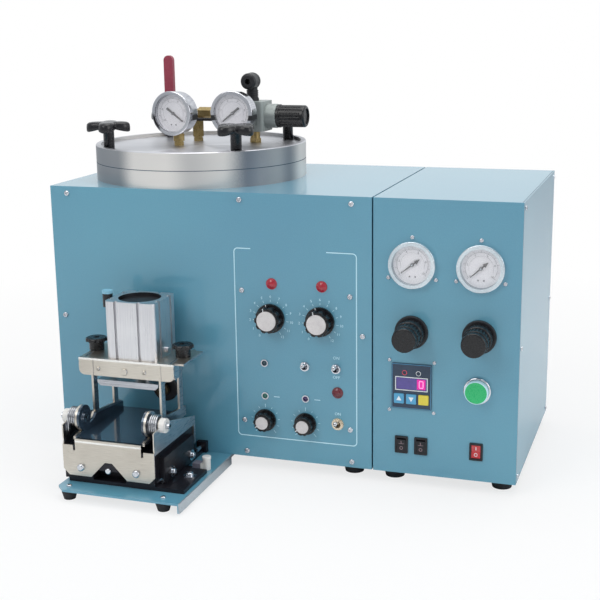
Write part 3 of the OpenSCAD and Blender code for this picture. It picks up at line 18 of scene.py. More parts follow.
import bpy
from mathutils import Matrix, Vector
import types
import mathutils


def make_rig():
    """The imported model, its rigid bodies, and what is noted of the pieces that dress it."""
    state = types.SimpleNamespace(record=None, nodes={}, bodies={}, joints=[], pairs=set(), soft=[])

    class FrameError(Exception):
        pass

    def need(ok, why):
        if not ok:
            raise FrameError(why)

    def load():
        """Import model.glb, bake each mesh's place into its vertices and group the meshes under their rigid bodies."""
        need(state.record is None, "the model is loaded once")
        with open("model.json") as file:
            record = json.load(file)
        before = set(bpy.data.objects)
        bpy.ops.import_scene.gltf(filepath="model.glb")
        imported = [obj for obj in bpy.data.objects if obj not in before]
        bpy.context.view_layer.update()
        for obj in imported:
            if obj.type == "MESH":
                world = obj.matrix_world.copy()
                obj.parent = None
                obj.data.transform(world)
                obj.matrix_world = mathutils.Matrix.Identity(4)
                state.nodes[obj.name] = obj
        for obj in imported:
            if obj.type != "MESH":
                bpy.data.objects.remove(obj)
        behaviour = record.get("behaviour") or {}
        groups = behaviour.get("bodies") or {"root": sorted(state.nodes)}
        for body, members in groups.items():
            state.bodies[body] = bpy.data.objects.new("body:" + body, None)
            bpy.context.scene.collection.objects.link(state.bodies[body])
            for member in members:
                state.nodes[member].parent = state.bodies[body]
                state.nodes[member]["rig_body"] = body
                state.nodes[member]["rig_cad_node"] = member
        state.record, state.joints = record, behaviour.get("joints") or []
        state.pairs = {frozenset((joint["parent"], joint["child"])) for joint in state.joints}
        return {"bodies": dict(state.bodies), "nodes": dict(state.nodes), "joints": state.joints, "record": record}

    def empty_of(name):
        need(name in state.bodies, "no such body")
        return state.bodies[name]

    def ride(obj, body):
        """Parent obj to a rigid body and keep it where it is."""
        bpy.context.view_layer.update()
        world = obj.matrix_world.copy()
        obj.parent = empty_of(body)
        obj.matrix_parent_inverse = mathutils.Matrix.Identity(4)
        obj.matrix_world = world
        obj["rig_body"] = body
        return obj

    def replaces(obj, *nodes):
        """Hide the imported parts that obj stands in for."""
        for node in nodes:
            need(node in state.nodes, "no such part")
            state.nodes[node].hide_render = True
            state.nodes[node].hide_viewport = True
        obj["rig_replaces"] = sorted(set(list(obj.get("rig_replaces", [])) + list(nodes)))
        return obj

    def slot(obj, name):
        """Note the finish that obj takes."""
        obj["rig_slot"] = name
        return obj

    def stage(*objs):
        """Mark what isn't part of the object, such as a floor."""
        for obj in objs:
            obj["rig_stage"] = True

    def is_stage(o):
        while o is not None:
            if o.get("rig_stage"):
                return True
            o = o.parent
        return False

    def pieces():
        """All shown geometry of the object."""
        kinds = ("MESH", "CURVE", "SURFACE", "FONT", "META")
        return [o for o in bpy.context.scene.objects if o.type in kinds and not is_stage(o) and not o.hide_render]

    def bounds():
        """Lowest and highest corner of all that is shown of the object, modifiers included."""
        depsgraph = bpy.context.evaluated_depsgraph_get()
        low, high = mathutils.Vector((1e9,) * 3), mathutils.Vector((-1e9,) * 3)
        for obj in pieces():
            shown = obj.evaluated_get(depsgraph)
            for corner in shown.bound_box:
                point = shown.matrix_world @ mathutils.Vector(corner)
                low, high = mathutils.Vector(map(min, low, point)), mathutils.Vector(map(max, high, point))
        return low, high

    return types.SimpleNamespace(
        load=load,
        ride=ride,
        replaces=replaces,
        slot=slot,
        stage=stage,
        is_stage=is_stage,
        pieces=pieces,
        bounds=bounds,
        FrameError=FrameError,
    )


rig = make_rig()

LOG = logging.getLogger("wax_injector")
MM_IN_M = 1000
# The machine's middle on the floor, in the pot cabinet's corner
ORIGIN_MM = Vector((320.9, 73.5, -16.0))
# Thickness of a film of ink
PRINT_MM = 0.06
RIGHT, BACK, UP = Vector((1, 0, 0)), Vector((0, 1, 0)), Vector((0, 0, 1))
Point2 = tuple[float, float]
Span = tuple[float, float]
# A span without limits
ALL: Span = (-9000.0, 9000.0)
# The pot's upright axis
POT_AXIS: Point2 = (159.5, 153.0)


def at(x: float, y: float, z: float) -> Vector:
    """Turns a place in the pot cabinet's corner, in mm, into the machine's frame in metres.

    Args:
        x: Distance from the cabinet's left side.
        y: Distance behind the front panels.
        z: Height over the cabinets' underside.

    Returns:
        The place in the machine's frame.
    """
    return (Vector((x, y, z)) - ORIGIN_MM) / MM_IN_M


def on_circle(centre: Point2, radius: float, angle: float) -> Point2:
    """Gives a point of a circle by its angle in radians."""
    return (centre[0] + radius * math.cos(angle), centre[1] + radius * math.sin(angle))


def linear(colour: str) -> tuple[float, float, float, float]:
    """Turns an sRGB hex colour into linear light.

    Args:
        colour: Six hex digits after a hash sign.

    Returns:
        Red, green, blue and an alpha of 1.
    """
    parts = [int(colour[i : i + 2], 16) / 255 for i in (1, 3, 5)]
    light = [c / 12.92 if c <= 0.04045 else ((c + 0.055) / 1.055) ** 2.4 for c in parts]
    return (light[0], light[1], light[2], 1.0)


def add_node(
    tree: bpy.types.NodeTree,
    kind: str,
    sockets: dict | None = None,
    links: dict | None = None,
    **settings: object,
) -> bpy.types.Node:
    """Adds a shader node with its values and its incoming links.

    Args:
        tree: Node tree to add to.
        kind: Blender's name for the node.
        sockets: Values by socket name or index.
        links: (source node, output) by socket name or index.
        settings: Properties of the node itself.

    Returns:
        The new node.
    """
    node = tree.nodes.new(kind)
    for name, value in settings.items():
        setattr(node, name, value)
    for name, value in (sockets or {}).items():
        node.inputs[name].default_value = value
    for name, (source, output) in (links or {}).items():
        tree.links.new(source.outputs[output], node.inputs[name])
    return node


# ------------------------------------------------------------------------------ finishes


class Grain(Enum):
    """How a surface was made, as the stretch of its grain along X, Y and Z."""

    EVEN = (1.0, 1.0, 1.0)
    DRAWN_ALONG_X = (0.03, 1.0, 1.0)
    DRAWN_ALONG_Y = (1.0, 0.03, 1.0)
    DRAWN_ALONG_Z = (1.0, 1.0, 0.03)


Output = tuple[bpy.types.Node, "int | str"]


@dataclass(frozen=True)
class Channels:
    """What a finish, or a mix of finishes, gives to the shader."""

    colour: Output
    roughness: Output
    height: Output
    metallic: float | Output
    glow: float | Output


@dataclass(frozen=True)
class Finish:
    """A real material with its worked surface, drawn as a noise of a known grain size.

    The grain colours the surface between two tones, moves its roughness and raises it.
    """

    name: str
    colour: str
    deep: str
    grain: Grain = Grain.EVEN
    grain_mm: float = 1.0
    height_mm: float = 0.01
    cloud_mm: float = 60.0
    metallic: float = 0.0
    roughness: float = 0.4
    spread: float = 0.06
    coat: float = 0.0
    glow: float = 0.0
    alpha: float = 1.0

    def tones(self, tree: bpy.types.NodeTree, coords: bpy.types.Node, mixed: bpy.types.Node) -> tuple:
        """Draws the colour between the two tones.

        Args:
            tree: Node tree of the material.
            coords: Texture coordinate node; not used here.
            mixed: Node whose output runs from 0 to 1 with grain and clouds.

        Returns:
            The node and the output that carry the colour.
        """
        ramp = add_node(tree, "ShaderNodeValToRGB", links={"Fac": (mixed, 0)})
        low, high = ramp.color_ramp.elements
        low.position, low.color = 0.36, linear(self.deep)
        high.position, high.color = 0.62, linear(self.colour)
        return ramp, "Color"

    def channels(self, tree: bpy.types.NodeTree, coords: bpy.types.Node) -> Channels:
        """Draws what the finish gives to the shader.

        Args:
            tree: Node tree of the material.
            coords: Texture coordinate node.

        Returns:
            Its colour, roughness, height, metallic share and glow.
        """
        scale = tuple(MM_IN_M / self.grain_mm * s for s in self.grain.value)
        placed = add_node(tree, "ShaderNodeMapping", {"Scale": scale}, {"Vector": (coords, "Object")})
        grain = add_node(
            tree, "ShaderNodeTexNoise", {"Scale": 1.0, "Detail": 3.0}, {"Vector": (placed, "Vector")}
        )
        cloud = add_node(
            tree,
            "ShaderNodeTexNoise",
            {"Scale": MM_IN_M / self.cloud_mm, "Detail": 2.0},
            {"Vector": (coords, "Object")},
        )
        mixed = add_node(
            tree, "ShaderNodeMath", links={0: (grain, "Fac"), 1: (cloud, "Fac")}, operation="ADD"
        )
        mixed = add_node(tree, "ShaderNodeMath", {1: 0.5}, {0: (mixed, 0)}, operation="MULTIPLY")
        span = {
            "From Min": 0.3,
            "From Max": 0.7,
            "To Min": max(0.02, self.roughness - self.spread),
            "To Max": self.roughness + self.spread,
        }
        rough = add_node(tree, "ShaderNodeMapRange", span, {"Value": (grain, "Fac")})
        high = add_node(
            tree, "ShaderNodeMath", {1: self.height_mm}, {0: (grain, "Fac")}, operation="MULTIPLY"
        )
        return Channels(self.tones(tree, coords, mixed), (rough, 0), (high, 0), self.metallic, self.glow)


@dataclass(frozen=True)
class TurnedRim(Finish):
    """Steel turned on a lathe, with soft upright bands of painted reflection round the pot's axis."""

    axis: Point2 = POT_AXIS
    # The painted reflection: sheen and shade are its light and dark tones, bands its lightness by angle in degrees
    sheen: str = "#F6F3EE"
    shade: str = "#6C747E"
    bands: tuple[tuple[float, float], ...] = (
        (-180, 0.5), (-120, 0.9), (-80, 0.4), (-50, 0.1), (-26, 0.2), (-13, 0.9), (4, 0.9), (17, 0.6),
        (33, 0.8), (47, 0.0), (66, 0.3), (76, 0.1), (91, 0.8), (140, 0.3), (180, 0.5),
    )

    def tones(self, tree: bpy.types.NodeTree, coords: bpy.types.Node, mixed: bpy.types.Node) -> tuple:
        """Draws the painted reflection bands by the angle round the axis, from the front towards the right.

        Args:
            tree: Node tree of the material.
            coords: Texture coordinate node.
            mixed: Node whose output runs from 0 to 1 with grain and clouds.

        Returns:
            The node and the output that carry the colour.
        """
        middle = at(self.axis[0], self.axis[1], 0)
        moved = add_node(
            tree, "ShaderNodeMapping", {"Location": (-middle.x, -middle.y, 0)}, {"Vector": (coords, "Object")}
        )
        split = add_node(tree, "ShaderNodeSeparateXYZ", links={"Vector": (moved, "Vector")})
        back = add_node(tree, "ShaderNodeMath", {1: -1.0}, {0: (split, "Y")}, operation="MULTIPLY")
        angle = add_node(
            tree, "ShaderNodeMath", links={0: (split, "X"), 1: (back, 0)}, operation="ARCTAN2"
        )
        turn = add_node(
            tree, "ShaderNodeMapRange", {"From Min": -math.pi, "From Max": math.pi}, {"Value": (angle, 0)}
        )
        wave = add_node(tree, "ShaderNodeMath", {1: 0.012}, {0: (mixed, 0)}, operation="MULTIPLY")
        place = add_node(tree, "ShaderNodeMath", links={0: (turn, 0), 1: (wave, 0)}, operation="ADD")
        place = add_node(tree, "ShaderNodeMath", {1: 0.006}, {0: (place, 0)}, operation="SUBTRACT")
        ramp = add_node(tree, "ShaderNodeValToRGB", links={"Fac": (place, 0)})
        ramp.color_ramp.interpolation = "EASE"
        dark, light = Vector(linear(self.shade)), Vector(linear(self.sheen))
        stops = ramp.color_ramp.elements
        while len(stops) < len(self.bands):
            stops.new(0.5)
        for stop, (degrees, lightness) in zip(stops, self.bands):
            stop.position = (degrees + 180) / 360
            stop.color = dark.lerp(light, lightness)
        return ramp, "Color"


class Facing(Enum):
    """Which way a surface looks, as its normal's axis and sign; 0 takes both ways."""

    ANY = ("", 0)
    FRONT = ("Y", -1)
    LEVEL = ("Z", 0)
    SIDEWAYS = ("X", 0)


class Axis(Enum):
    """Axis of a round region, as the two others kept."""

    NONE = (1, 1, 1)
    ALONG_X = (0, 1, 1)
    ALONG_Y = (1, 0, 1)
    ALONG_Z = (1, 1, 0)


@dataclass(frozen=True)
class Region:
    """Where a finish lies on a node: between planes, round an axis or facing a way, in mm."""

    x: Span = ALL
    y: Span = ALL
    z: Span = ALL
    axis: Axis = Axis.NONE
    middle: tuple[float, float, float] = (0.0, 0.0, 0.0)
    radii: Span = ALL
    facing: Facing = Facing.ANY

    def mask(self, tree: bpy.types.NodeTree, coords: bpy.types.Node) -> bpy.types.Node:
        """Draws the region.

        Args:
            tree: Node tree of the material.
            coords: Texture coordinate node.

        Returns:
            A node whose first output is 1 in the region and 0 elsewhere.
        """
        split = add_node(tree, "ShaderNodeSeparateXYZ", links={"Vector": (coords, "Object")})
        limits = [((split, n), span, o) for n, span, o in zip("XYZ", (self.x, self.y, self.z), ORIGIN_MM)]
        if self.axis is not Axis.NONE:
            keep = Vector(self.axis.value)
            place = {"Location": -(at(*self.middle) * keep), "Scale": keep}
            flat = add_node(tree, "ShaderNodeMapping", place, {"Vector": (coords, "Object")})
            away = add_node(tree, "ShaderNodeVectorMath", links={0: (flat, 0)}, operation="LENGTH")
            limits.append(((away, "Value"), self.radii, 0.0))
        tests = [
            add_node(tree, "ShaderNodeMath", {1: (limit - zero) / MM_IN_M}, {0: source}, operation=test)
            for source, span, zero in limits
            for limit, test in zip(span, ("GREATER_THAN", "LESS_THAN"))
            if limit not in ALL
        ]
        letter, sign = self.facing.value
        if letter:
            normal = add_node(tree, "ShaderNodeSeparateXYZ", links={"Vector": (coords, "Normal")})
            turned = {"operation": "MULTIPLY"} if sign else {"operation": "ABSOLUTE"}
            turned = add_node(tree, "ShaderNodeMath", {1: float(sign)}, {0: (normal, letter)}, **turned)
            tests.append(
                add_node(tree, "ShaderNodeMath", {1: 0.6}, {0: (turned, 0)}, operation="GREATER_THAN")
            )
        mask = tests[0]
        for test in tests[1:]:
            mask = add_node(tree, "ShaderNodeMath", links={0: (mask, 0), 1: (test, 0)}, operation="MULTIPLY")
        return mask


@dataclass(frozen=True)
class Patch:
    """A finish of its own on some regions of a node."""

    finish: Finish
    regions: tuple[Region, ...]


def blend(
    tree: bpy.types.NodeTree, mask: bpy.types.Node, first: object, second: object, colour: bool = False
) -> Output:
    """Mixes two outputs or numbers by a mask.

    Args:
        tree: Node tree of the material.
        mask: Node that is 1 where the second holds.
        first: Output or number outside the mask.
        second: Output or number inside it.
        colour: Whether both are colours.

    Returns:
        The mixed output.
    """
    kind, sockets = ("RGBA", (6, 7)) if colour else ("FLOAT", (2, 3))
    pairs = list(zip(sockets, (first, second)))
    values = {socket: value for socket, value in pairs if not isinstance(value, tuple)}
    links = {socket: value for socket, value in pairs if isinstance(value, tuple)}
    mixed = add_node(tree, "ShaderNodeMix", values, {0: (mask, 0), **links}, data_type=kind)
    return mixed, 2 if colour else 0


@functools.cache
def material(finish: Finish, patches: tuple[Patch, ...] = ()) -> bpy.types.Material:
    """Builds the material of a finish, with patches masked in by place, and keeps it.

    Args:
        finish: Finish of the whole piece.
        patches: Patches in order; a later one lies over an earlier one.

    Returns:
        The Blender material.
    """
    made = bpy.data.materials.new(finish.name)
    made.use_nodes = True
    tree = made.node_tree
    tree.nodes.clear()
    coords = add_node(tree, "ShaderNodeTexCoord")
    base = finish.channels(tree, coords)
    for patch in patches:
        over = patch.finish.channels(tree, coords)
        mask = patch.regions[0].mask(tree, coords)
        for region in patch.regions[1:]:
            more = region.mask(tree, coords)
            mask = add_node(tree, "ShaderNodeMath", links={0: (mask, 0), 1: (more, 0)}, operation="MAXIMUM")
        metallic, glow = base.metallic, base.glow
        if metallic != over.metallic:
            metallic = blend(tree, mask, metallic, over.metallic)
        if glow != over.glow:
            glow = blend(tree, mask, glow, over.glow)
        base = Channels(
            blend(tree, mask, base.colour, over.colour, colour=True),
            blend(tree, mask, base.roughness, over.roughness),
            blend(tree, mask, base.height, over.height),
            metallic,
            glow,
        )
    # Heights are in mm, so the bump's distance is one of them
    bump = {"Strength": 0.5, "Distance": 1 / MM_IN_M}
    raised = add_node(tree, "ShaderNodeBump", bump, {"Height": base.height})
    values = {"Coat Weight": finish.coat, "Coat Roughness": 0.08, "Alpha": finish.alpha}
    links = {"Base Color": base.colour, "Roughness": base.roughness, "Normal": (raised, 0)}
    (links if isinstance(base.metallic, tuple) else values)["Metallic"] = base.metallic
    if base.glow:
        links["Emission Color"] = base.colour
        (links if isinstance(base.glow, tuple) else values)["Emission Strength"] = base.glow
    shader = add_node(tree, "ShaderNodeBsdfPrincipled", values, links)
    add_node(tree, "ShaderNodeOutputMaterial", links={"Surface": (shader, 0)})
    return made


# Sheet steel sprayed with satin enamel: orange peel of about 1.5 mm under a clear gloss
ENAMEL = Finish(
    "sheet_steel_sprayed_enamel", "#62A0B6", "#5C97B0", grain_mm=1.5, height_mm=0.004, cloud_mm=240,
    roughness=0.34, spread=0.03, coat=0.7,
)
# Stainless sheet brushed along its length: a warm grey sheen with fine lines, drawn 0.5 mm apart,
# coarser than the real ones, so that they show
BRUSHED_STAINLESS = Finish(
    "stainless_sheet_brushed", "#DAD4C9", "#C0B9AE", grain=Grain.DRAWN_ALONG_X, grain_mm=0.5,
    height_mm=0.006, cloud_mm=90, metallic=1.0, roughness=0.33,
)
# The same sheet brushed along its depth, for its side faces: cooler, as a painted reflection of the room
BRUSHED_SIDE_REFLECTION = Finish(
    "stainless_sheet_brushed_side_painted_reflection", "#D2D3D8", "#B4B6BE", grain=Grain.DRAWN_ALONG_Y, grain_mm=0.5,
    height_mm=0.006, cloud_mm=90, metallic=1.0, roughness=0.3,
)
# Painted highlight along the bend of a stainless sheet: a bright line along the edge
BEND_HIGHLIGHT = Finish(
    "stainless_bend_painted_highlight", "#FBFAF6", "#ECEAE4", grain=Grain.DRAWN_ALONG_X, grain_mm=1.0,
    height_mm=0.002, metallic=0.55, roughness=0.2,
)
# Stainless disc turned on a lathe: rings too fine to show, and soft bands of painted reflection on its side
TURNED_SIDE = TurnedRim(
    "stainless_disc_turned_side", "#D8D6D2", "#8C8E92", grain_mm=2.0, height_mm=0.001, metallic=0.6,
    roughness=0.32, spread=0.02,
)
# The flat faces of the same disc: a satin grey with faint bands of painted reflection
TURNED_TOP = TurnedRim(
    "stainless_disc_turned_face", "#E4E4E8", "#BFC0C6", grain_mm=1.0, height_mm=0.003, cloud_mm=120,
    metallic=1.0, roughness=0.4, spread=0.02, sheen="#DADADF", shade="#B4B5BA",
)
# Steel parts plated bright zinc, as screws and shafts are
ZINC = Finish(
    "steel_zinc_plated", "#E3E6EA", "#B4B9C1", grain_mm=0.6, height_mm=0.006, metallic=1.0, roughness=0.2,
)
# Chrome over brass: a clear mirror, a little blue
CHROME = Finish(
    "brass_chrome_plated", "#E9EAED", "#C9CCD2", grain_mm=0.8, height_mm=0.002, metallic=1.0, roughness=0.1,
)
# Brass turned from bar, a little dulled by handling
BRASS = Finish(
    "brass_turned", "#B7A273", "#857144", grain_mm=1.0, height_mm=0.01, cloud_mm=14, metallic=1.0,
    roughness=0.3,
)
# Phenolic plastic moulded glossy: a skin with a faint ripple of 3 mm
BLACK_MOULDED = Finish(
    "phenolic_moulded_black", "#141519", "#0F1013", grain_mm=3.0, height_mm=0.002, roughness=0.27,
)
# ABS moulded with a fine texture: black with a wide, dull shine
BLACK_SATIN = Finish("abs_moulded_black", "#191A1F", "#121317", grain_mm=1.0, height_mm=0.006, roughness=0.42)
# Aluminium block milled and anodised black
BLACK_ANODISED = Finish(
    "aluminium_anodised_black", "#26232B", "#17151A", grain=Grain.DRAWN_ALONG_Y, grain_mm=0.8, height_mm=0.01,
    metallic=0.35, roughness=0.33,
)
# Rubber moulded matt: black with no shine
RUBBER = Finish("rubber_moulded_black", "#26272B", "#191A1D", grain_mm=0.7, height_mm=0.03, roughness=0.65)
# Silicone cord: a soft brick red
SEAL = Finish("silicone_extruded_red", "#8E3A30", "#7A2F27", grain_mm=1.2, height_mm=0.02, roughness=0.5)
# Aluminium profile as extruded: drawing lines along its height
EXTRUDED = Finish(
    "aluminium_extruded", "#E4E4E6", "#D2D2D6", grain=Grain.DRAWN_ALONG_Z, grain_mm=1.4, height_mm=0.003,
    metallic=1.0, roughness=0.32,
)
# Bore of the cylinder in its own shade
BORE = Finish(
    "aluminium_bore_dark", "#3A3A3F", "#26262A", grain_mm=1.0, height_mm=0.01, metallic=0.6, roughness=0.4,
)
# Aluminium plate with the cutter's marks: a grey sheen in stripes of 1 mm
MILLED = Finish(
    "aluminium_plate_milled", "#D2D4D8", "#A9ACB2", grain=Grain.DRAWN_ALONG_X, grain_mm=1.0, height_mm=0.006,
    metallic=1.0, roughness=0.3,
)
# Steel tray in a dark glossy blue-grey, which mirrors the legs behind it
TRAY = Finish(
    "steel_tray_dark_glossy", "#46586A", "#3A4A5A", grain_mm=1.5, height_mm=0.002, metallic=0.55,
    roughness=0.16, coat=0.8,
)
# Spring wire drawn bright: a thin light line along each turn
SPRING_WIRE = Finish(
    "spring_wire_drawn", "#D6D7DA", "#9C9EA3", grain_mm=0.8, height_mm=0.006, metallic=1.0, roughness=0.22,
)
# Nylon turned from rod: milky white, half matt
NYLON = Finish("nylon_turned_white", "#F0EEEA", "#DEDCD8", grain_mm=1.0, height_mm=0.01, roughness=0.38)
# Sleeve of PVC from dipping: dull red with a soft shine
LEVER_RED = Finish("pvc_dipped_red", "#A23F52", "#8C3145", grain_mm=1.5, height_mm=0.02, roughness=0.42)
# Zinc casting under grey paint: a slightly rough skin
CASTING = Finish(
    "zinc_die_cast_painted", "#A9B0AE", "#8B9391", grain_mm=0.9, height_mm=0.03, roughness=0.45, metallic=0.3,
)
# Steel case pressed and polished: a mirror with faint drawing lines
GAUGE_STEEL = Finish(
    "steel_pressed_polished", "#DADBE0", "#A9AAB2", grain=Grain.DRAWN_ALONG_Y, grain_mm=1.2, height_mm=0.004,
    cloud_mm=30, metallic=1.0, roughness=0.18,
)
# Bright rolled ring: near white, with a soft mirror
GAUGE_RING = Finish(
    "steel_ring_bright", "#E6EEF2", "#C4D2DA", grain_mm=1.2, height_mm=0.003, metallic=0.75, roughness=0.22,
)
# Printed aluminium card: plain matt white
DIAL = Finish("aluminium_dial_printed", "#F6F4F8", "#EEECF1", grain_mm=3.0, height_mm=0.002, roughness=0.5)
# Ink of the dials: thin grey strokes
DIAL_INK = Finish("dial_ink_printed", "#6E6A74", "#5D5964", grain_mm=0.8, height_mm=0.002, roughness=0.6)
# Glass: nearly unseen but for its shine
LENS = Finish(
    "float_glass", "#FFFFFF", "#F4F8FA", grain_mm=30, height_mm=0.001, roughness=0.04, spread=0.01, alpha=0.1,
)
# Painted aluminium strip: matt, near black
NEEDLE = Finish(
    "aluminium_needle_painted", "#3B3538", "#2B2528", grain_mm=1.0, height_mm=0.004, roughness=0.45,
)
# Clear red plastic over a dark socket: deep red with a small bright shine
LAMP_RED = Finish(
    "acrylic_lens_red", "#B01D33", "#8A0F20", grain_mm=2.5, height_mm=0.02, roughness=0.14, coat=0.6,
    glow=0.05,
)
# The same lens with its lamp off and its face dusty
LAMP_DULL = Finish(
    "acrylic_lens_red_unlit", "#7E2733", "#5F1A24", grain_mm=2.0, height_mm=0.04, roughness=0.3, coat=0.4,
)
# Tinted resin domes: dark until lit, with one point of shine
LED_GREEN = Finish(
    "led_resin_green", "#2C6F66", "#1B4A44", grain_mm=1.5, height_mm=0.01, roughness=0.15, coat=0.8,
)
LED_VIOLET = Finish(
    "led_resin_violet", "#4B3470", "#2C1C4A", grain_mm=1.5, height_mm=0.01, roughness=0.15, coat=0.8,
)
LED_DARK = Finish(
    "led_resin_dark", "#1E4A5C", "#12303E", grain_mm=1.5, height_mm=0.01, roughness=0.15, coat=0.8,
)
# Screen-printed ink: a film of 0.06 mm that stands a little matt on the gloss enamel
INK = Finish("screen_ink_pale", "#CDF0FA", "#BFE6F3", grain_mm=0.9, height_mm=0.004, roughness=0.5)
# Spun aluminium disc: silvery white with a faint cloud
CAP = Finish(
    "aluminium_cap_spun", "#DEDAD9", "#CDC8C8", grain_mm=1.0, height_mm=0.004, cloud_mm=8, metallic=0.15,
    roughness=0.4,
)
# ABS moulded glossy in green
BUTTON = Finish(
    "abs_moulded_green", "#2CB870", "#27AC67", grain_mm=1.5, height_mm=0.004, roughness=0.3, glow=0.08,
)
# ABS case with a fine texture: dull navy
COUNTER = Finish("abs_moulded_navy", "#36475C", "#2D3C4F", grain_mm=1.0, height_mm=0.01, roughness=0.42)
# Lit window: an even violet behind a clear sheet
DISPLAY = Finish(
    "acrylic_window_violet", "#4D3F92", "#43367F", grain_mm=4.0, height_mm=0.002, roughness=0.15, coat=0.8,
    glow=0.12,
)
# The window's lit cell and the strokes of its figure
DIGIT = Finish(
    "acrylic_window_magenta", "#D9279C", "#C01D88", grain_mm=3.0, height_mm=0.002, roughness=0.2, glow=0.45,
)
DIGIT_LIT = Finish(
    "segment_lit_pink", "#FF9BD2", "#FF86C6", grain_mm=2.0, height_mm=0.001, roughness=0.3, glow=0.6,
)
# Silicone keys: soft, even colour with no sharp shine
KEY_BLUE = Finish("silicone_key_blue", "#5FAED6", "#4F9FCB", grain_mm=0.9, height_mm=0.01, roughness=0.45)
KEY_YELLOW = Finish("silicone_key_yellow", "#EAD752", "#DDC740", grain_mm=0.9, height_mm=0.01, roughness=0.45)
# White ink, and the same ink when worn
WHITE_INK = Finish("screen_ink_white", "#F2F6F8", "#E4EBEF", grain_mm=0.9, height_mm=0.003, roughness=0.5)
FAINT_INK = Finish("screen_ink_worn", "#A78E94", "#8E767D", grain_mm=0.7, height_mm=0.003, roughness=0.55)
# Coloured ring round the counter's lamp
RING_RED = Finish(
    "led_ring_red", "#E2566C", "#D0465C", grain_mm=1.0, height_mm=0.004, roughness=0.4, glow=0.15,
)
# Polycarbonate, lit a little from within: a glossy red
ROCKER_RED = Finish(
    "polycarbonate_rocker_red", "#C03A3E", "#9E2A2E", grain_mm=2.0, height_mm=0.003, roughness=0.22,
    coat=0.5, glow=0.15,
)
# The dark of a narrow gap between two sheets
SEAM = Finish("shadow_seam", "#24465C", "#1A3446", grain_mm=1.0, height_mm=0.004, roughness=0.7)
# Nickel over brass, warm where it is worn
NUT = Finish(
    "brass_nickel_plated", "#E9DCC6", "#C9B79A", grain_mm=1.0, height_mm=0.004, metallic=0.7, roughness=0.25,
)
# Brass darkened by heat: half shiny
NOZZLE = Finish(
    "brass_turned_tarnished", "#6A5C44", "#43392B", grain_mm=1.0, height_mm=0.006, metallic=0.9,
    roughness=0.35,
)
# Galvanised steel at the bare fold of the plate: pale, cloudy grey
FOLD = Finish(
    "steel_sheet_galvanised", "#BCC5CB", "#A7B0B7", grain_mm=2.5, height_mm=0.004, metallic=0.6,
    roughness=0.35,
)
# Acetal fittings: even, waxy colour
CAP_BLUE = Finish(
    "acetal_moulded_light_blue", "#8FC6DC", "#7DB6CE", grain_mm=1.0, height_mm=0.01, roughness=0.35,
)
FITTING_GREY = Finish(
    "acetal_moulded_grey", "#8D8B99", "#777583", grain_mm=1.0, height_mm=0.02, roughness=0.4,
)
# Board with green lacquer: half shiny
BOARD = Finish("circuit_board_green", "#2E5E46", "#234B37", grain_mm=2.0, height_mm=0.02, roughness=0.5)


# ---------------------------------------------------------------------- mesh and dressing


@dataclass
class Solid:
    """Collects closed shells for one piece, each face with the number of its finish."""

    points: list[Vector] = field(default_factory=list)
    faces: list[list[int]] = field(default_factory=list)
    slots: list[int] = field(default_factory=list)

    def add(self, points: Sequence[Vector], faces: Sequence[Sequence[int]], slot: int = 0) -> None:
        """Adds a shell.

        Args:
            points: Corners in the machine's frame.
            faces: Corner numbers of each face, counter-clockwise from outside.
            slot: Number of the piece's finish.
        """
        start = len(self.points)
        self.points.extend(points)
        self.faces.extend([start + i for i in face] for face in faces)
        self.slots.extend([slot] * len(faces))

    def loft(self, rings: Sequence[Sequence[Vector]], slot: int = 0) -> None:
        """Adds a shell through rings of equally many points, closed at both ends.

        Args:
            rings: Rings in order, each counter-clockwise as seen against the order.
            slot: Number of the piece's finish.
        """
        n = len(rings[0])
        faces: list[list[int]] = [list(range(n))[::-1]]
        for i in range(len(rings) - 1):
            for k in range(n):
                a, b = i * n + k, i * n + (k + 1) % n
                faces.append([a, b, b + n, a + n])
        faces.append([(len(rings) - 1) * n + k for k in range(n)])
        self.add([p for ring in rings for p in ring], faces, slot)

    def make(
        self, name: str, body: str, finishes: Sequence[Finish], slot: str, smooth: bool = False
    ) -> bpy.types.Object:
        """Makes the piece, lets it ride on its body and names its material slot.

        Args:
            name: Name of the piece.
            body: CAD body that it moves with.
            finishes: Finishes in the order of their numbers.
            slot: The record's material slot.
            smooth: Whether the faces are shaded smooth.

        Returns:
            The piece.
        """
        mesh = bpy.data.meshes.new(name)
        mesh.from_pydata([tuple(p) for p in self.points], [], self.faces)
        for finish in finishes:
            mesh.materials.append(material(finish))
        mesh.polygons.foreach_set("material_index", self.slots)
        mesh.polygons.foreach_set("use_smooth", [smooth] * len(self.faces))
        mesh.update()
        piece = bpy.data.objects.new(name, mesh)
        bpy.context.scene.collection.objects.link(piece)
        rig.ride(piece, body)
        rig.slot(piece, slot)
        LOG.info("piece %s on %s: %d faces", name, body, len(self.faces))
        return piece


